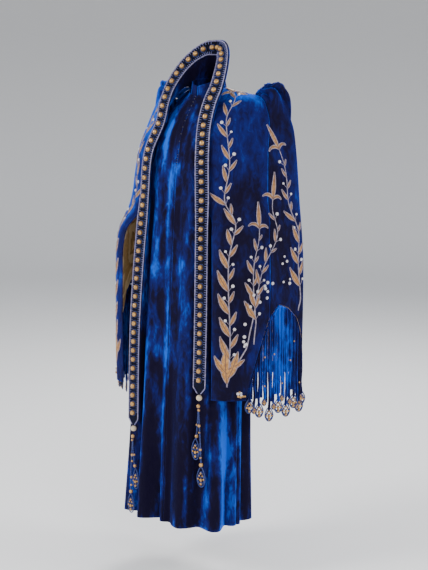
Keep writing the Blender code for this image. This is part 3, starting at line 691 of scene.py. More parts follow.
sapphire = ((0.0030, 0.0014, 0.014), (0.0030, 0.0075, 0.115), (0.0008, 0.095, 0.620))
finish = {
    "velvet": velvet("sapphire velvet", sapphire, 14.0, 1.9, -0.05, 1.2, 0.04),
    # the mantle velvet carries the strongest painted highlight toward the shoulders (lift 0.30)
    "mantle": velvet("mantle velvet", sapphire, 9.0, 1.3, -0.10, 0.25, 0.30),
    # the sleeve velvet is the same velvet painted darker by its lean, as painted shade, with a painted highlight
    # toward the puff (lift 0.20)
    "sleeve": velvet("sleeve velvet with painted shade", sapphire, 9.0, 1.4, -0.18, 0.25, 0.20),
    "collar": velvet("collar velvet", sapphire, 11.0, 1.6, -0.06, lift=0.0),
    "lining": brocade(),
    "ribbon": velvet("band ground velvet", ((0.002, 0.0018, 0.006), (0.003, 0.004, 0.018), (0.003, 0.010, 0.050)),
                     20.0, 1.0, lift=0.0),
    "cord": threadWork("blue silk cord", (0.005, 0.010, 0.07), (0.018, 0.045, 0.22), 420.0, 0.0, 0.5, 0.9),
    "rung": threadWork("periwinkle cord", (0.10, 0.11, 0.30), (0.22, 0.23, 0.46), 700.0, 0.0, 0.45, 0.9),
    "braid": threadWork("silver braid", (0.12, 0.12, 0.28), (0.34, 0.31, 0.45), 620.0, 0.30, 0.45, 0.9),
    # the third leaf colour is the painted shade down each leaf's middle groove
    "leaf": leafWork("gold satin stitch", (0.29, 0.120, 0.028), (0.53, 0.26, 0.072), (0.11, 0.055, 0.045)),
    "stem": threadWork("silver couched thread", (0.17, 0.145, 0.21), (0.36, 0.31, 0.36), 640.0, 0.3, 0.45, 0.9),
    "gold": turnedBead("turned gilt bead", (0.62, 0.36, 0.12), (0.34, 0.17, 0.05), 0.55, 0.34, 0.3),
    "cream": turnedBead("cream bead", (0.64, 0.53, 0.37), (0.48, 0.38, 0.25), 0.0, 0.35, 0.4),
    "berry": turnedBead("pearl bead", (0.66, 0.62, 0.62), (0.48, 0.44, 0.48), 0.1, 0.3, 0.5),
    "steel": turnedBead("blackened hook", (0.12, 0.12, 0.13), (0.06, 0.06, 0.07), 0.8, 0.40),
}
print("finishes made")

# Coat body.
bodyGrid = {"columns": 84, "rows": 160, "ripple": 0.0022}


def armholeEdge(down):
    return np.sin(np.clip(down / coat["armholeDown"], 0, 1) * math.pi) ** 0.7


def bodyCloth(share, down, piece):
    # the coat's surface with long shallow ripples, none at its seams
    points = bodySurface(share, down, piece)
    edge = np.clip(share / 0.08, 0, 1) * np.clip((1 - share) / 0.30, 0, 1) * np.clip(down / 0.10, 0, 1)
    seed = {"left": 0.4, "right": 1.7, "back": 3.1}[piece]
    ripple = 0.6 * np.sin(share * 33 + 2 * np.sin(down * 5 + seed)) + 0.4 * np.sin(share * 57 + seed * 3 - down * 6)
    outward = points - np.array([0.0, -0.05, 0.0])
    outward[..., 2] = 0
    return points + unit(outward) * (ripple * edge * bodyGrid["ripple"])[..., None]


def makeBody():
    steps = np.linspace(0, 1, bodyGrid["columns"])
    downs = np.linspace(0, 1, bodyGrid["rows"]) ** 1.25
    shares = steps[None, :] * (1 - coat["armholeCut"] * armholeEdge(downs))[:, None]
    for side in ("left", "right"):
        points = bodyCloth(shares, downs[:, None] + 0 * shares, side)
        points[:, 0, 0] = 0.00004
        points[:, -1, 1] -= coat["seamGap"] * 3
        points = mirrored(points, side)
        clothPiece("front_panel_" + side, points, finish["velvet"], "velvet", "front_" + side,
                   middle=(0, -0.03, -0.7))
    shares = shares * (1 - coat["backTipCut"] * np.clip(1 - downs / 0.02, 0, 1))[:, None]
    half = bodyCloth(shares, downs[:, None] + 0 * shares, "back")
    half[:, -1, 1] += coat["seamGap"] * 3
    whole = np.concatenate([mirrored(half[:, :0:-1], "right"), half], axis=1)
    clothPiece("back_panel", whole, finish["velvet"], "velvet", "back", middle=(0, -0.03, -0.7))


makeBody()
print("coat body made")

# Mantle fronts, sleeves and linings.
mantleGrid = {"frontColumns": 60, "sleeveColumns": 100, "rows": 190, "liningColumns": 110, "liningRows": 100,
              "liningFrom": 0.43}


def makeMantle(side):
    downs = np.linspace(0, 1, mantleGrid["rows"])[:, None]
    seam = mantle["seam"]
    fronts = np.linspace(0, 1, mantleGrid["frontColumns"])[None, :]
    trim = np.interp(downs, (0, 0.10, 0.30), (0.048, 0.018, 0.0008))
    points = mantleCloth(fronts * (seam - trim), downs + 0 * fronts)
    clothPiece("mantle_panel_" + side, mirrored(points, side), finish["mantle"], "velvet",
               "mantle_front_" + side, middle=mirrored(np.array((0.15, 0, -0.6)), side))
    shares = np.linspace(seam, 1, mantleGrid["sleeveColumns"])[None, :]
    points = mantleCloth(shares, downs + 0 * shares)
    clothPiece("sleeve_panel_" + side, mirrored(points, side), finish["sleeve"], "velvet",
               "sleeve_" + side, middle=mirrored(np.array((0.15, 0, -0.6)), side))
    shares = np.linspace(0.012, 0.985, mantleGrid["liningColumns"])[None, :]
    downs = np.linspace(mantleGrid["liningFrom"], 0.972, mantleGrid["liningRows"])[:, None]
    points = mantleCloth(shares, downs + 0 * shares)
    normal = gridNormals(points)
    if (normal * (points - np.array((0.15, 0, -0.6)))).sum() < 0:
        normal = -normal
    points = points - normal * (0.0011 + coat["liningWall"])
    clothPiece("lining_panel_" + side, mirrored(points, side), finish["lining"], "lining",
               "lining_" + side, thickness=coat["liningWall"],
               middle=mirrored(np.array((0.15, 0, -0.6)), side))


for side in ("left", "right"):
    makeMantle(side)
print("mantle, sleeves and linings made")


# Collar, neckband and bead bands.
def bandFrames(distance, side="left"):
    # point, direction along, across and facing of the band, by distance from the back of the collar
    mirror = bandLine[:0:-1] * np.array([-1, 1, 1])
    whole = np.concatenate([mirror, bandLine])
    keys = np.concatenate([[0], np.cumsum(np.linalg.norm(np.diff(whole, axis=0), axis=1))])
    keys = keys - keys[len(mirror)]
    fine = np.linspace(0, keys[-1], 1200)
    places = smoothRead(keys, whole, fine)
    run = np.concatenate([[0], np.cumsum(np.linalg.norm(np.diff(places, axis=0), axis=1))])
    at = np.interp(distance, run, fine)
    point = smoothRead(keys, whole, at)
    if side == "right":
        low = np.interp(-point[:, 2], (0.15, 0.50), (0, 1))[:, None]
        point = point - low * np.array([band["rightInset"], band["rightForward"], 0.0])
    along = unit(smoothRead(keys, whole, at + 0.004) - smoothRead(keys, whole, at - 0.004))
    turn = np.interp(point[..., 2], (-0.40, -0.33, -0.12, -0.02, 0.15), (0.10, 0.25, 0.25, 0.12, 0.0))
    rise = np.interp(point[..., 2], (-0.2, 0.0), (0.0, 0.20))
    facing = np.stack([turn, -np.ones_like(turn), rise], axis=-1)
    facing = unit(facing - along * (facing * along).sum(-1, keepdims=True))
    return point, along, np.cross(facing, along), facing


def bandLength(tip, side="left"):
    distance = np.linspace(0, 1.6, 1601)
    return float(distance[bandFrames(distance, side)[0][:, 2] <= tip][0])


def makeCollar():
    reach = bandLength(collarFoot[-1][2])
    share = np.linspace(-1, 1, 241)
    point, along, across, facing = bandFrames(np.abs(share) * reach)
    neck = bodySurface(np.array([0.0, 0.18, 0.33, 0.45, 0.52]), np.array([0.005, 0.005, 0.005, 0.004, 0.002]), "back")
    away = unit(neck - np.array([0.0, -0.010, -0.030]))
    lift = coat["wall"] + np.array([[0.0012], [0.0012], [0.0014], [0.0030], [0.0032]])
    foot = np.concatenate([neck + away * lift, collarFoot])
    base = smoothRead(np.linspace(0, 1, len(foot)) ** 1.1, foot, np.abs(share))
    behind = band["wall"] / 2 + coat["seamGap"]
    edge = point + across * (band["half"] + 0.002) - facing * behind
    inner = point - across * band["half"] - facing * behind
    level = np.linspace(0, 1, 14)[:, None, None]
    # straight from the foot to the band, then on along the back of the band
    lower = base + (inner - base) * level
    bow = np.sin(level * math.pi) * 0.004 * np.clip(1 - np.abs(share) * 1.3, 0, 1)[None, :, None]
    lower = lower + bow * np.array([0.0, 1.0, 0.0])
    upper = inner + (edge - inner) * np.linspace(0, 1, 8)[1:, None, None]
    points = np.concatenate([lower, upper])
    points = points * np.where(share < 0, -1.0, 1.0)[None, :, None] ** np.array([1, 0, 0])
    clothPiece("collar_velvet", points, finish["collar"], "velvet_collar", "collar",
               middle=(0, -0.30, 0.10))


def makeNeckband():
    turns = np.linspace(math.radians(1.5), math.radians(358.5), 121)
    levels = np.linspace(-0.004, 0.030, 10)
    base = smoothRead((0, 0.5 * math.pi, math.pi, 1.5 * math.pi, 2 * math.pi),
                      (-0.006, 0.014, 0.018, 0.014, -0.006), turns)[:, 0]
    lean = np.interp(levels, (-0.004, 0.030), (0.0, 0.004))
    x = (0.0522 - lean)[:, None] * np.sin(turns)[None, :]
    y = -0.011 - (0.0541 - lean)[:, None] * np.cos(turns)[None, :]
    points = np.stack([x, y, base[None, :] + levels[:, None]], axis=-1)
    clothPiece("neckband_velvet", points, finish["collar"], "velvet_collar", "neckband",
               thickness=0.0016, middle=(0, -0.011, 0.01))


def makeBand(side):
    length = bandLength(band["leftTip"] if side == "left" else band["rightTip"], side)
    distance = np.concatenate([np.linspace(0.0003, length - 0.022, 420), np.linspace(length - 0.021, length, 16)])
    width = np.interp(distance, (0, length - 0.022, length), (1.0, 1.0, 0.12))
    point, along, across, facing = bandFrames(distance, side)
    # ribbon section: seven points over the top and back underneath
    shape = np.array(((-1, -0.5), (-1, 0.3), (-0.9, 0.5), (0, 0.62), (0.9, 0.5), (1, 0.3), (1, -0.5)))
    ring = (point[:, None] + across[:, None] * (shape[:, 0] * band["half"])[None, :, None] * width[:, None, None]
            + facing[:, None] * (shape[:, 1] * band["wall"])[None, :, None])
    rows, columns = ring.shape[:2]
    index = np.arange(rows * columns).reshape(rows, columns)
    faces = [gridFaces(rows, columns, wrap=True), index[:1, ::-1], index[-1:]]
    points = ring.reshape(-1, 3)
    if signedVolume(points, faces[0]) < 0:
        faces = [group[:, ::-1] for group in faces]
    uv = np.stack([np.broadcast_to(shape[:, 0] * band["half"], (rows, columns)),
                   np.broadcast_to(distance[:, None], (rows, columns))], axis=-1).reshape(-1, 2)
    ribbon = flipped((points, faces, uv), side)
    putMesh("band_ribbon_" + side, *ribbon, finish["ribbon"], "bead_band", ("band_" + side,))

    # gilt beads on the middle line
    beads = np.arange(band["pitch"] * 0.5, length - 0.028, band["pitch"])
    middle, run, wide, out = bandFrames(beads, side)
    spots = middle + out * (band["wall"] * 0.5 + band["beadRadius"] * 0.62)
    frames = np.stack([wide, out, run], axis=1)
    putMesh("band_beads_" + side, *flipped(scatter(ballShape(9, 14, 0.10), spots, band["beadRadius"], frames), side),
            finish["gold"], "bead_band")

    # short cord bars on both sides of the dark middle, and a thin loop round every bead
    bars = (beads[:-1, None] + band["pitch"] * np.array([0.125, 0.375, 0.625, 0.875])).ravel()
    middle, run, wide, out = bandFrames(bars, side)
    cords = []
    for hand in (-1, 1):
        spread = np.linspace(0.0125, band["half"] - 0.0042, 7) * hand
        path = (middle[:, None] + wide[:, None] * spread[None, :, None]
                + out[:, None] * (0.0022 + 0.0010 * np.sin(np.linspace(0, math.pi, 7)))[None, :, None])
        cords.append(sweep(path, out[:, None] + 0 * path, band["rungRadius"], band["rungRadius"], 6, lower=-1))
    putMesh("band_rungs_" + side, *flipped(gathered(cords), side), finish["rung"], "bead_band")
    middle, run, wide, out = bandFrames(beads, side)
    turn = np.linspace(0, 2 * math.pi, 18, endpoint=False)
    ring = (middle[:, None] + wide[:, None] * (np.cos(turn) * 0.0105)[None, :, None]
            + run[:, None] * (np.sin(turn) * 0.0098)[None, :, None] + out[:, None] * 0.0026)
    cords = sweep(ring, out[:, None] + 0 * ring, 0.0012, 0.0012, 5, closed=True, lower=-1)
    putMesh("band_cords_" + side, *flipped(cords, side), finish["cord"], "bead_band")

    # two strands twisted round each other along both edges
    fine = np.linspace(0.001, length - 0.004, 560)
    middle, run, wide, out = bandFrames(fine, side)
    narrow = np.interp(fine, (0, length - 0.024, length), (1.0, 1.0, 0.16))
    strands = []
    for edge in (-1, 1):
        for phase in (0.0, math.pi):
            swing = np.cos(fine * 2 * math.pi / 0.010 + phase) * 0.0011
            rise = np.sin(fine * 2 * math.pi / 0.010 + phase) * 0.0008
            reach = (edge * (band["half"] - 0.0024) * narrow + swing)[:, None]
            strands.append(middle + wide * reach + out * (0.0026 + rise)[:, None])
    paths = np.stack(strands)
    braid = sweep(paths, out[None] + 0 * paths, band["braidRadius"], band["braidRadius"], 6, lower=-1)
    putMesh("band_braid_" + side, *flipped(braid, side), finish["braid"], "bead_band")


makeCollar()
makeNeckband()
for side in ("left", "right"):
    makeBand(side)
print("collar, neckband and bead bands made")

# Embroidery.
# each vine: foot and tip as (share, down) of the mantle, bow to one side, sway and number of sways
# as shares, and the place of its first leaf in metres from the foot
vines = {
    "inner": {"foot": (0.13, 0.97), "tip": (0.13, 0.11), "bow": 0.035, "sway": 0.017, "sways": 3.5, "first": 0.09},
    "second": {"foot": (0.29, 0.93), "tip": (0.32, 0.66), "bow": -0.010, "sway": 0.010, "sways": 1.5, "first": 0.08},
    "third": {"foot": (0.15, 0.95), "tip": (0.41, 0.54), "bow": 0.110, "sway": 0.014, "sways": 2.0, "first": 0.24},
    "outer": {"foot": (0.57, 0.96), "tip": (0.45, 0.39), "bow": 0.055, "sway": 0.014, "sways": 2.5, "first": 0.08},
}
stitching = {
    "stemHalf": 0.0017,
    "stemHeight": 0.0016,
    "footLeaves": 4,
    "footLength": 0.118,
    "leafHeight": 0.0022,
    "outlineRadius": 0.0013,
    "berryRadius": 0.0050,
    "lift": 0.0004,
}


def vinePath(vine, count=160):
    # with t from foot to tip: share = straight line + bow sin(pi t) + sway sin(2 pi sways t) min(6 t, 1)
    t = np.linspace(0, 1, 400)
    share = np.interp(t, (0, 1), (vine["foot"][0], vine["tip"][0])) + vine["bow"] * np.sin(math.pi * t)
    share += vine["sway"] * np.sin(2 * math.pi * vine["sways"] * t) * np.minimum(6 * t, 1)
    down = np.interp(t, (0, 1), (vine["foot"][1], vine["tip"][1]))
    points = mantleSurface(share, down)
    run = np.concatenate([[0], np.cumsum(np.linalg.norm(np.diff(points, axis=0), axis=1))])
    even = np.linspace(0, run[-1], count)
    return np.interp(even, run, share), np.interp(even, run, down), even


def leafBlades(share, down, heading, length, width, curl, rows=15):
    # lance leaf: half width = width * sin(pi t^0.82)^1.15, its spine bending by curl from foot to tip
    t = np.linspace(0, 1, rows)[None, :]
    points, normal = onMantle(share, down)
    sideways = np.cross(normal, heading)
    angle = curl[:, None] * t
    ahead = np.concatenate([np.zeros((len(share), 1)), np.cumsum(np.cos(angle[:, 1:]), axis=1)], axis=1) / (rows - 1)
    aside = np.concatenate([np.zeros((len(share), 1)), np.cumsum(np.sin(angle[:, 1:]), axis=1)], axis=1) / (rows - 1)
    offset = (heading[:, None] * (ahead * length[:, None])[..., None]
              + sideways[:, None] * (aside * length[:, None])[..., None])
    s, d = stepOnMantle(share[:, None] + 0 * t, down[:, None] + 0 * t, offset)
    target = mantleSurface(share, down)[:, None] + offset
    for _ in range(3):
        s, d = np.clip(s, 0.03, 0.97), np.clip(d, 0.01, 0.985)
        s, d = stepOnMantle(s, d, target - mantleSurface(s, d))
    s, d = np.clip(s, 0.03, 0.97), np.clip(d, 0.01, 0.985)
    half = width[:, None] * np.sin(math.pi * t ** 0.82) ** 1.15 + 0.0005
    return s, d, half


def laidOnMantle(s, d, half, height, sides=10):
    # ring places stepped sideways over the cloth, then lifted: the blade follows the cloth's bend
    spine, normal = onMantle(s, d)
    tangent = unit(np.gradient(spine, axis=1))
    sideways = unit(np.cross(normal, tangent))
    turn = np.linspace(0, 2 * math.pi, sides, endpoint=False)
    reach = half[..., None] * np.cos(turn)
    rs, rd = stepOnMantle(s[..., None] + 0 * reach, d[..., None] + 0 * reach, sideways[:, :, None] * reach[..., None])
    groove = 1 - 0.45 * np.exp(-(np.cos(turn) / 0.16) ** 2) * (height > 0.002)
    lift = stitching["lift"] + height * np.maximum(np.sin(turn), -0.5) * groove
    points, _ = onMantle(rs, rd, np.broadcast_to(lift, rs.shape))
    count, rows = s.shape
    index = np.arange(count * rows * sides).reshape(count, rows, sides)
    around = np.roll(index, -1, axis=2)
    quads = np.stack([index[:, :-1], around[:, :-1], around[:, 1:], index[:, 1:]], axis=-1).reshape(-1, 4)
    faces = [quads, index[:, 0, ::-1], index[:, -1]]
    run = np.concatenate([np.zeros((count, 1)), np.cumsum(np.linalg.norm(np.diff(spine, axis=1), axis=-1), axis=1)], 1)
    uv = np.stack([reach, run[..., None] + 0 * reach], axis=-1).reshape(-1, 2)
    points = points.reshape(-1, 3)
    if signedVolume(points, quads) < 0:
        faces = [group[:, ::-1] for group in faces]
    return points, faces, uv


def leafOutlines(s, d, half):
    # couched cord down one side of the leaf and back up the other
    spine, normal = onMantle(s, d)
    tangent = unit(np.gradient(spine, axis=1))
    sideways = unit(np.cross(normal, tangent))
    edge = half + 0.0007
    ls, ld = stepOnMantle(s, d, sideways * edge[..., None])
    rs, rd = stepOnMantle(s, d, -sideways * edge[..., None])
    s2 = np.concatenate([ls, rs[:, ::-1]], axis=1)
    d2 = np.concatenate([ld, rd[:, ::-1]], axis=1)
    path, normal = onMantle(s2, d2, np.full(s2.shape, stitching["outlineRadius"] * 0.7))
    return sweep(path, normal, stitching["outlineRadius"], stitching["outlineRadius"], 5, closed=True, lower=-1)


def makeEmbroidery(side):
    stems, blades, berries = [], [], []
    for name, vine in vines.items():
        share, down, run = vinePath(vine)
        total = run[-1]
        half = np.interp(run, (0, total), (stitching["stemHalf"] * 1.4, stitching["stemHalf"] * 0.8))
        stems.append(laidOnMantle(share[None], down[None], half[None], stitching["stemHeight"], 8))
        # alternate leaves, longer toward the foot of the vine
        spots = np.arange(vine["first"], total - 0.03, 0.036)
        where = np.interp(spots, run, np.arange(len(run)))
        s, d = np.interp(where, np.arange(len(run)), share), np.interp(where, np.arange(len(run)), down)
        points, normal = onMantle(share, down)
        tangent = unit(np.gradient(points, axis=0))
        forward = tangent[where.astype(int)]
        out = normal[where.astype(int)]
        hand = np.where(np.arange(len(spots)) % 2 == 0, 1.0, -1.0)
        open_ = 0.60 * hand
        heading = unit(forward * np.cos(open_)[:, None] + np.cross(out, forward) * np.sin(open_)[:, None])
        low = np.clip(1 - spots / total, 0, 1)
        length = np.where(hand > 0, 0.046 + 0.036 * low, 0.032 + 0.016 * low)
        length = length + 0.005 * np.sin(np.arange(len(spots)) * 2.3)
        if name != "inner":
            length = length * (0.50 + 0.55 * low ** 0.7)
        blades.append((s, d, heading, length, length * (0.078 + 0.038 * low), -0.22 * hand))
        # berries on the other side of the stem
        sideways = np.cross(out, forward) * (-hand * 0.014)[:, None] + forward * 0.016
        bs, bd = stepOnMantle(s, d, sideways)
        keep = np.arange(len(bs)) % 3 != 1
        berries.append((bs[keep], bd[keep]))
        stalkS = s[keep, None] + (bs - s)[keep, None] * np.linspace(0, 1, 5)
        stalkD = d[keep, None] + (bd - d)[keep, None] * np.linspace(0, 1, 5)
        stems.append(laidOnMantle(stalkS, stalkD, np.full(stalkS.shape, 0.0008), 0.0010, 6))
        # flower: a tall middle petal and two that curl away, only on the three outer vines
        tipS, tipD = share[-1:], down[-1:]
        tipForward, tipOut = tangent[-1], normal[-1]
        tipSide = np.cross(tipOut, tipForward)
        if name != "inner":
            turns = np.array([0.02, 0.16, -0.16])
            sizes = np.array([0.088, 0.045, 0.038])
            widths = np.array([0.0054, 0.0040, 0.0036])
            curls = np.array([0.06, 2.3, -2.3])
        else:
            turns = np.array([0.1, 0.80, -0.5])
            sizes = np.array([0.062, 0.040, 0.036])
            widths = np.array([0.0056, 0.0050, 0.0042])
            curls = np.array([0.2, 1.2, -0.4])
        heading = unit(tipForward * np.cos(turns)[:, None] + tipSide * np.sin(turns)[:, None])
        same = np.ones(len(turns))
        blades.append((tipS * same, tipD * same, heading, sizes, widths, curls))

    # big leaves at the foot of the vines, and a sprig at the shoulder
    # foot leaves climb the inner vine in turn, each 0.8 as long as the one before and turned further out
    order = np.arange(stitching["footLeaves"])
    share, down, run = vinePath(vines["inner"])
    footS, footD = np.interp(0.010 + 0.016 * order, run, share), np.interp(0.010 + 0.016 * order, run, down)
    _, normal = onMantle(footS, footD)
    up = unit(np.array([0, 0, 1.0]) - normal * normal[:, 2:3])
    turns = np.where(order % 2 == 0, 1, -1) * (0.16 + 0.34 * order)
    heading = unit(up * np.cos(turns)[:, None] + np.cross(normal, up) * np.sin(turns)[:, None])
    length = stitching["footLength"] * 0.8 ** order
    blades.append((footS, footD, heading, length, 0.125 * length, -0.25 * np.sign(turns)))
    tuftS = np.array([0.135, 0.145, 0.155, 0.150, 0.160])
    tuftD = np.array([0.085, 0.075, 0.090, 0.065, 0.110])
    _, normal = onMantle(tuftS, tuftD)
    up = unit(np.array([0, 0.3, 1.0]) - normal * (normal * np.array([0, 0.3, 1.0])).sum(-1, keepdims=True))
    turns = np.array([0.1, -0.6, -1.2, 0.55, -1.7])
    heading = unit(up * np.cos(turns)[:, None] + np.cross(normal, up) * np.sin(turns)[:, None])
    blades.append((tuftS, tuftD, heading, np.array([0.040, 0.040, 0.036, 0.028, 0.036]),
                   np.array([0.0046, 0.0046, 0.0042, 0.0034, 0.0042]),
                   np.array([0.2, -0.3, -0.3, 0.3, 0.3])))

    grids = [leafBlades(*blade) for blade in blades]
    s = np.concatenate([grid[0] for grid in grids])
    d = np.concatenate([grid[1] for grid in grids])
    half = np.concatenate([grid[2] for grid in grids])
    putMesh("vine_leaves_" + side, *flipped(laidOnMantle(s, d, half, stitching["leafHeight"]), side),
            finish["leaf"], "trimming")
    stems.append(leafOutlines(s, d, half))
    putMesh("vine_stems_" + side, *flipped(gathered(stems), side), finish["stem"], "trimming")

    # loose berries between the vines
    rng = np.random.default_rng(12)
    clusterS = np.concatenate([rng.uniform(0.225, 0.290, 8), rng.uniform(0.455, 0.510, 6),
                               rng.uniform(0.340, 0.400, 6), rng.uniform(0.160, 0.225, 3)])
    clusterD = np.concatenate([rng.uniform(0.82, 0.89, 8), rng.uniform(0.76, 0.88, 6),
                               rng.uniform(0.82, 0.87, 6), rng.uniform(0.965, 0.990, 3)])
    berries.append((clusterS, clusterD))
    bs = np.concatenate([pair[0] for pair in berries])
    bd = np.concatenate([pair[1] for pair in berries])
    middle, normal = onMantle(bs, bd, np.full(len(bs), 0.0012))
    across = unit(np.cross(normal, (0, 0, 1.0)))
    frames = np.stack([across, np.cross(normal, across), normal], axis=1)
    size = stitching["berryRadius"] * (0.8 + 0.4 * rng.random(len(bs)))
    radii = np.stack([size, size, size * 0.62], axis=1)
    putMesh("vine_berries_" + side, *flipped(scatter(ballShape(6, 10), middle, radii, frames), side),
            finish["berry"], "trimming")


def makeShoulderSeam(side):
    # velvet cord along the shoulder, which fills the sewn line between coat and mantle front
    share = np.linspace(0.53, 0.97, 24)
    edges = [np.stack([np.interp(share, rows[:, 0], rows[:, k]) for k in (1, 2, 3)], axis=-1)
             for rows in (frontTop, backTop)]
    path = ((edges[0] + edges[1]) / 2 + np.array([0, 0, 0.0033]))[None]
    cord = sweep(path, np.array([0, 0, 1.0]) + 0 * path, 0.0022, 0.0022, 8, lower=-1)
    putMesh("shoulder_cord_" + side, *flipped(cord, side), finish["velvet"], "trimming")


for side in ("left", "right"):
    makeEmbroidery(side)
    makeShoulderSeam(side)
print("embroidery made")


# Hanging ends and fringe.
def teardropLine(middle, width, height, facing, count=26, squeeze=0.45):
    # x = sin a (1 - squeeze cos a) w / 2 above the middle, z = cos a h / 2, standing square to facing
    facing = unit(np.asarray(facing, float))
    side = unit(np.cross(facing, (0, 0, 1.0)))
    turn = np.linspace(0, 2 * math.pi, count, endpoint=False)
    across = np.sin(turn) * np.where(np.cos(turn) > 0, 1 - squeeze * np.cos(turn), 1.0) * width / 2
    return np.asarray(middle) + side * across[:, None] + np.array([0, 0, 1.0]) * (np.cos(turn) * height / 2)[:, None]


def medallion(middle, width, height, facing):
    # two nested loops of cord, two small loops inside them, and beads at their meeting places
    facing = unit(np.asarray(facing, float))
    side = unit(np.cross(facing, (0, 0, 1.0)))
    up = np.array([0, 0, 1.0])
    loops = [teardropLine(middle, width - 0.004, height - 0.004, facing),
             teardropLine(np.asarray(middle) - up * height * 0.06, width * 0.66, height * 0.62, facing)]
    for place in (-1, 1):
        small = np.asarray(middle) + side * place * width * 0.17 - up * height * 0.14
        loops.append(teardropLine(small, width * 0.30, height * 0.34, facing, 26, 0.1))
    paths = np.stack(loops)
    cords = sweep(paths, facing + 0 * paths, 0.0019, 0.0019, 6, closed=True, lower=-1)
    middle = np.asarray(middle)
    spots = np.stack([middle - up * height * 0.14, middle + up * height * 0.17,
                      middle - up * height * 0.33, middle + side * width * 0.28 - up * height * 0.10,
                      middle - side * width * 0.28 - up * height * 0.10,
                      middle + side * width * 0.16 + up * height * 0.06,
                      middle - side * width * 0.16 + up * height * 0.06])
    sizes = np.array([0.0052, 0.0036, 0.0042, 0.0032, 0.0032, 0.0028, 0.0028])
    return cords, spots + facing * 0.0015, sizes


def cordLine(start, end, bow, count=24):
    t = np.linspace(0, 1, count)[:, None]
    return np.asarray(start) + (np.asarray(end) - np.asarray(start)) * t + np.asarray(bow) * np.sin(t * math.pi)


def twistedPair(path, radius, pitch):
    # two strands round a common line
    tangent = unit(np.gradient(path, axis=0))
    helper = np.array([0.0, 1.0, 0.0])
    first = unit(np.cross(tangent, helper))
    second = np.cross(tangent, first)
    run = np.concatenate([[0], np.cumsum(np.linalg.norm(np.diff(path, axis=0), axis=1))])
    strands = []
    for phase in (0, math.pi):
        angle = run * 2 * math.pi / pitch + phase
        strands.append(path + (first * np.cos(angle)[:, None] + second * np.sin(angle)[:, None]) * radius)
    return np.stack(strands)


def makeTassel(side):
    tip = band["leftTip"] if side == "left" else band["rightTip"]
    point, along, across, facing = bandFrames(np.array([bandLength(tip, side)]), side)
    x, y, z = point[0]
    front = facing[0]
    cords, gold, goldSize = [], [], []
    low = y - 0.005
    for start, end in (((x, low, z - 0.044), (x - 0.010, low, z - 0.146)),
                       ((x, low, z - 0.044), (x + 0.011, low, z - 0.236))):
        pair = twistedPair(cordLine(start, end, (0.002, -0.001, 0), 90), 0.0013, 0.012)
        cords.append(sweep(pair, np.array([0, 1.0, 0]) + 0 * pair, 0.0015, 0.0015, 6, lower=-1))
    for middle, width, height in (((x - 0.012, low, z - 0.180), 0.034, 0.072),
                                  ((x + 0.011, low, z - 0.268), 0.036, 0.070)):
        part, spots, sizes = medallion(middle, width, height, front)
        cords.append(part)
        gold.append(spots)
        goldSize.append(sizes)
    gold.append(np.array([(x, low, z - 0.036), (x + 0.002, low, z - 0.049), (x + 0.003, low, z - 0.100),
                          (x + 0.0045, low, z - 0.122), (x + 0.008, low, z - 0.178), (x + 0.009, low, z - 0.205),
                          (x + 0.0105, low, z - 0.228), (x - 0.008, low, z - 0.136), (x - 0.006, low, z - 0.098)]))
    goldSize.append(np.array([0.0066, 0.0046, 0.0056, 0.0040, 0.0050, 0.0040, 0.0070, 0.0060, 0.0040]))
    putMesh("tassel_cords_" + side, *flipped(gathered(cords), side), finish["cord"], "trimming", ("tassel_" + side,))
    beads = scatter(ballShape(7, 12, 0.06), np.concatenate(gold), np.concatenate(goldSize))
    putMesh("tassel_beads_" + side, *flipped(beads, side), finish["gold"], "trimming")
    cream = scatter(ballShape(9, 16), [(x, y - 0.001, z - 0.0098)], 0.0098)
    putMesh("tassel_head_" + side, *flipped(cream, side), finish["cream"], "trimming")


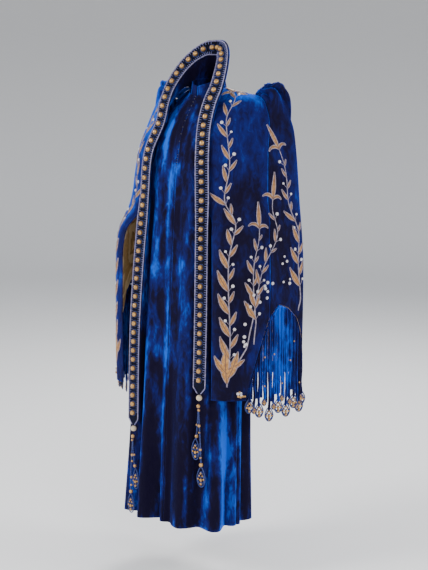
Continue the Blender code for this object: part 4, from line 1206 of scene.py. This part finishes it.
def makeFringe(side):
    fringe = {"cords": 15, "ends": (0.262, 0.665), "radius": 0.0042, "low": -0.952, "extra": 0.034}
    edge = np.linspace(*fringe["ends"], fringe["cords"] * 2 - 1)
    head = mantleSurface(edge, np.ones_like(edge))
    along = np.gradient(head, axis=0)
    out = unit(np.stack([along[:, 1], -along[:, 0], np.zeros(len(head))], axis=1))
    below = unit(np.cross(along, out))
    below = below * -np.sign(below[:, 2:3])
    spots = (head + below * 0.0052)[::2]
    number = np.arange(fringe["cords"])
    lows = fringe["low"] - fringe["extra"] * ((number * 5) % 7) / 6 - np.where(number % 2 == 0, 0.010, 0)
    t = np.linspace(0, 1, 30)
    z = spots[:, 2:3] + 0.002 + (lows[:, None] - spots[:, 2:3]) * t
    sway = 0.0016 * np.sin(t[None, :] * 9 + number[:, None] * 1.7) * t[None, :]
    paths = np.stack([spots[:, 0:1] + sway, spots[:, 1:2] + sway * 0.6, z], axis=-1)
    width = fringe["radius"] * (1 + 0.05 * np.sin(t * 60))
    thick = sweep(paths, np.array([0, 1.0, 0]) + 0 * paths, width[None], width[None], 10, lower=-1)
    # shorter cords hang between them, a little behind
    between = (head + below * 0.0052)[1::2] - out[1::2] * 0.0030
    ends = np.minimum(lows[:-1], lows[1:]) + 0.026
    z = between[:, 2:3] + 0.002 + (ends[:, None] - between[:, 2:3]) * t
    behind = np.stack([between[:, 0:1] + 0 * z, between[:, 1:2] + 0 * z, z], axis=-1)
    filling = sweep(behind, np.array([0, 1.0, 0]) + 0 * behind, width[None], width[None], 8, lower=-1)
    # piped edge that follows the arch
    line = smoothRead(edge, head + below * 0.0050 + out * 0.0006, np.linspace(edge[0], edge[-1], 120))
    pipe = sweep(line[None], np.array([0.8, -0.6, 0.0]) + 0 * line[None], 0.0030, 0.0030, 8, lower=-1)
    putMesh("fringe_cords_" + side, *flipped(gathered([thick, filling, pipe]), side), finish["velvet"], "velvet",
            ("fringe_" + side,))
    loops, gold, sizes = [], [], []
    out = unit(np.array([0.80, -0.60, 0.0]))
    for place in number:
        big = place % 2 == 0
        width, height = (0.031, 0.050) if big else (0.018, 0.026)
        middle = np.array([spots[place, 0], spots[place, 1], lows[place] - (0.012 if big else 0.009)])
        part, points, size = medallion(middle, width, height, out)
        loops.append(part)
        gold.append(points)
        sizes.append(size * (1.0 if big else 0.65))
    # beads threaded over some of the cords
    for place, part in ((3, 0.32), (3, 0.78), (5, 0.45), (7, 0.86), (9, 0.55), (10, 0.30), (12, 0.72)):
        ring = np.array([spots[place, 0], spots[place, 1], spots[place, 2] + (lows[place] - spots[place, 2]) * part])
        gold.append((ring + out * 0.0052)[None])
        sizes.append(np.array([0.0030]))
    # a small cluster on the hem where the arch begins
    corner, _ = onMantle(np.array([0.205, 0.218, 0.231, 0.243, 0.212]), np.array([0.990, 0.991, 0.990, 0.990, 0.981]),
                         np.full(5, 0.0020))
    gold.append(corner)
    sizes.append(np.array([0.0040, 0.0044, 0.0038, 0.0034, 0.0034]))
    putMesh("fringe_loops_" + side, *flipped(gathered(loops), side), finish["cord"], "trimming")
    beads = scatter(ballShape(6, 10), np.concatenate(gold), np.concatenate(sizes))
    putMesh("fringe_beads_" + side, *flipped(beads, side), finish["gold"], "trimming")


def makeHooks():
    down = np.linspace(0.004, 0.150, 17)
    spot = bodySurface(np.full(len(down), 0.012), down, "right")
    spot[:, 0] = 0.0
    spot[:, 1] -= 0.0030
    hooks = scatter(ballShape(5, 8), spot, np.array([[0.0026, 0.0010, 0.0012]] * len(down)))
    putMesh("neck_hooks", *hooks, finish["steel"], "trimming")


for side in ("left", "right"):
    makeTassel(side)
    makeFringe(side)
makeHooks()
print("hanging ends, fringe and hooks made")

# Floor, light and camera.
studio = {
    "floorZ": -1.56,
    "azimuth": 40.0,
    "distance": 4.6,
    "height": 0.12,
    "tilt": 9.3,
    "aside": 0.013,
    "lens": 88.3,
    "floorReach": 6.2,
    "floorBend": 2.8,
    "wallTop": 1.8,
}


def makeStudio():
    # round floor whose rim turns up into a low wall by a quarter circle
    bend = np.linspace(0, math.pi / 2, 25)
    edge, radius = studio["floorReach"], studio["floorBend"]
    reach = np.concatenate([[0.05, 2.0, 4.0], edge + radius * np.sin(bend), [edge + radius]])
    rise = np.concatenate([[0.0, 0.0, 0.0], radius * (1 - np.cos(bend)), [radius + studio["wallTop"]]])
    around = np.linspace(0, 2 * math.pi, 96, endpoint=False)
    points = np.stack([reach[:, None] * np.cos(around), reach[:, None] * np.sin(around),
                       studio["floorZ"] + rise[:, None] + 0 * around], axis=-1)
    middle = np.arange(96)[None, :]
    faces = gridFaces(len(reach), 96, wrap=True).tolist() + middle[:, ::-1].tolist()
    mesh = bpy.data.meshes.new("floor")
    mesh.from_pydata(points.reshape(-1, 3).tolist(), [], faces)
    mesh.polygons.foreach_set("use_smooth", np.ones(len(mesh.polygons), bool))
    paint, tree, shader, where = emptyMaterial("pale backdrop", 0.9)
    # painted shade: the backdrop is painted darker from the floor up to z 0.6
    place = addNode(tree, "SeparateXYZ", None, Vector=where.outputs["Object"])
    paintedTopShade = addNode(tree, "MapRange", {"interpolation_type": "SMOOTHSTEP"}, Value=place.outputs["Z"])
    paintedTopShade.inputs["From Min"].default_value = studio["floorZ"]
    paintedTopShade.inputs["From Max"].default_value = 0.6
    tree.links.new(mixColours(tree, paintedTopShade.outputs[0], (0.92, 0.915, 0.915), (0.66, 0.655, 0.655)),
                   shader.inputs["Base Color"])
    mesh.materials.append(paint)
    floor = bpy.data.objects.new("floor", mesh)
    bpy.context.scene.collection.objects.link(floor)

    world = bpy.data.worlds.new("studio")
    world.use_nodes = True
    world.node_tree.nodes["Background"].inputs[0].default_value = (0.80, 0.84, 0.90, 1)
    world.node_tree.nodes["Background"].inputs[1].default_value = 0.65
    bpy.context.scene.world = world
    for name, place, size, power in (("key", (-2.2, -3.6, 1.6), 1.8, 190), ("fill", (3.6, -2.4, 0.6), 2.4, 105),
                                     ("rim", (-1.2, 2.6, 1.8), 1.6, 110), ("side", (3.0, 1.4, 1.2), 1.4, 60)):
        lamp = bpy.data.lights.new(name, "AREA")
        lamp.shape = "DISK"
        lamp.size = size
        lamp.energy = power
        item = bpy.data.objects.new(name, lamp)
        item.location = place
        aim = np.array([0, 0, -0.5]) - np.array(place)
        item.rotation_euler = (math.atan2(math.hypot(aim[0], aim[1]), -aim[2]), 0,
                               math.atan2(aim[1], aim[0]) - math.pi / 2)
        bpy.context.scene.collection.objects.link(item)

    lens = bpy.data.cameras.new("camera")
    lens.sensor_fit = "VERTICAL"
    lens.sensor_height = 36
    lens.lens = studio["lens"]
    camera = bpy.data.objects.new("camera", lens)
    turn = math.radians(studio["azimuth"])
    away = np.array([-math.sin(turn), math.cos(turn), 0])
    across = np.array([math.cos(turn), math.sin(turn), 0])
    spot = -away * studio["distance"] + across * studio["aside"]
    camera.location = (spot[0], spot[1], studio["height"])
    camera.rotation_euler = (math.radians(90 - studio["tilt"]), 0, turn)
    bpy.context.scene.collection.objects.link(camera)
    bpy.context.scene.camera = camera


makeStudio()
bpy.context.view_layer.update()
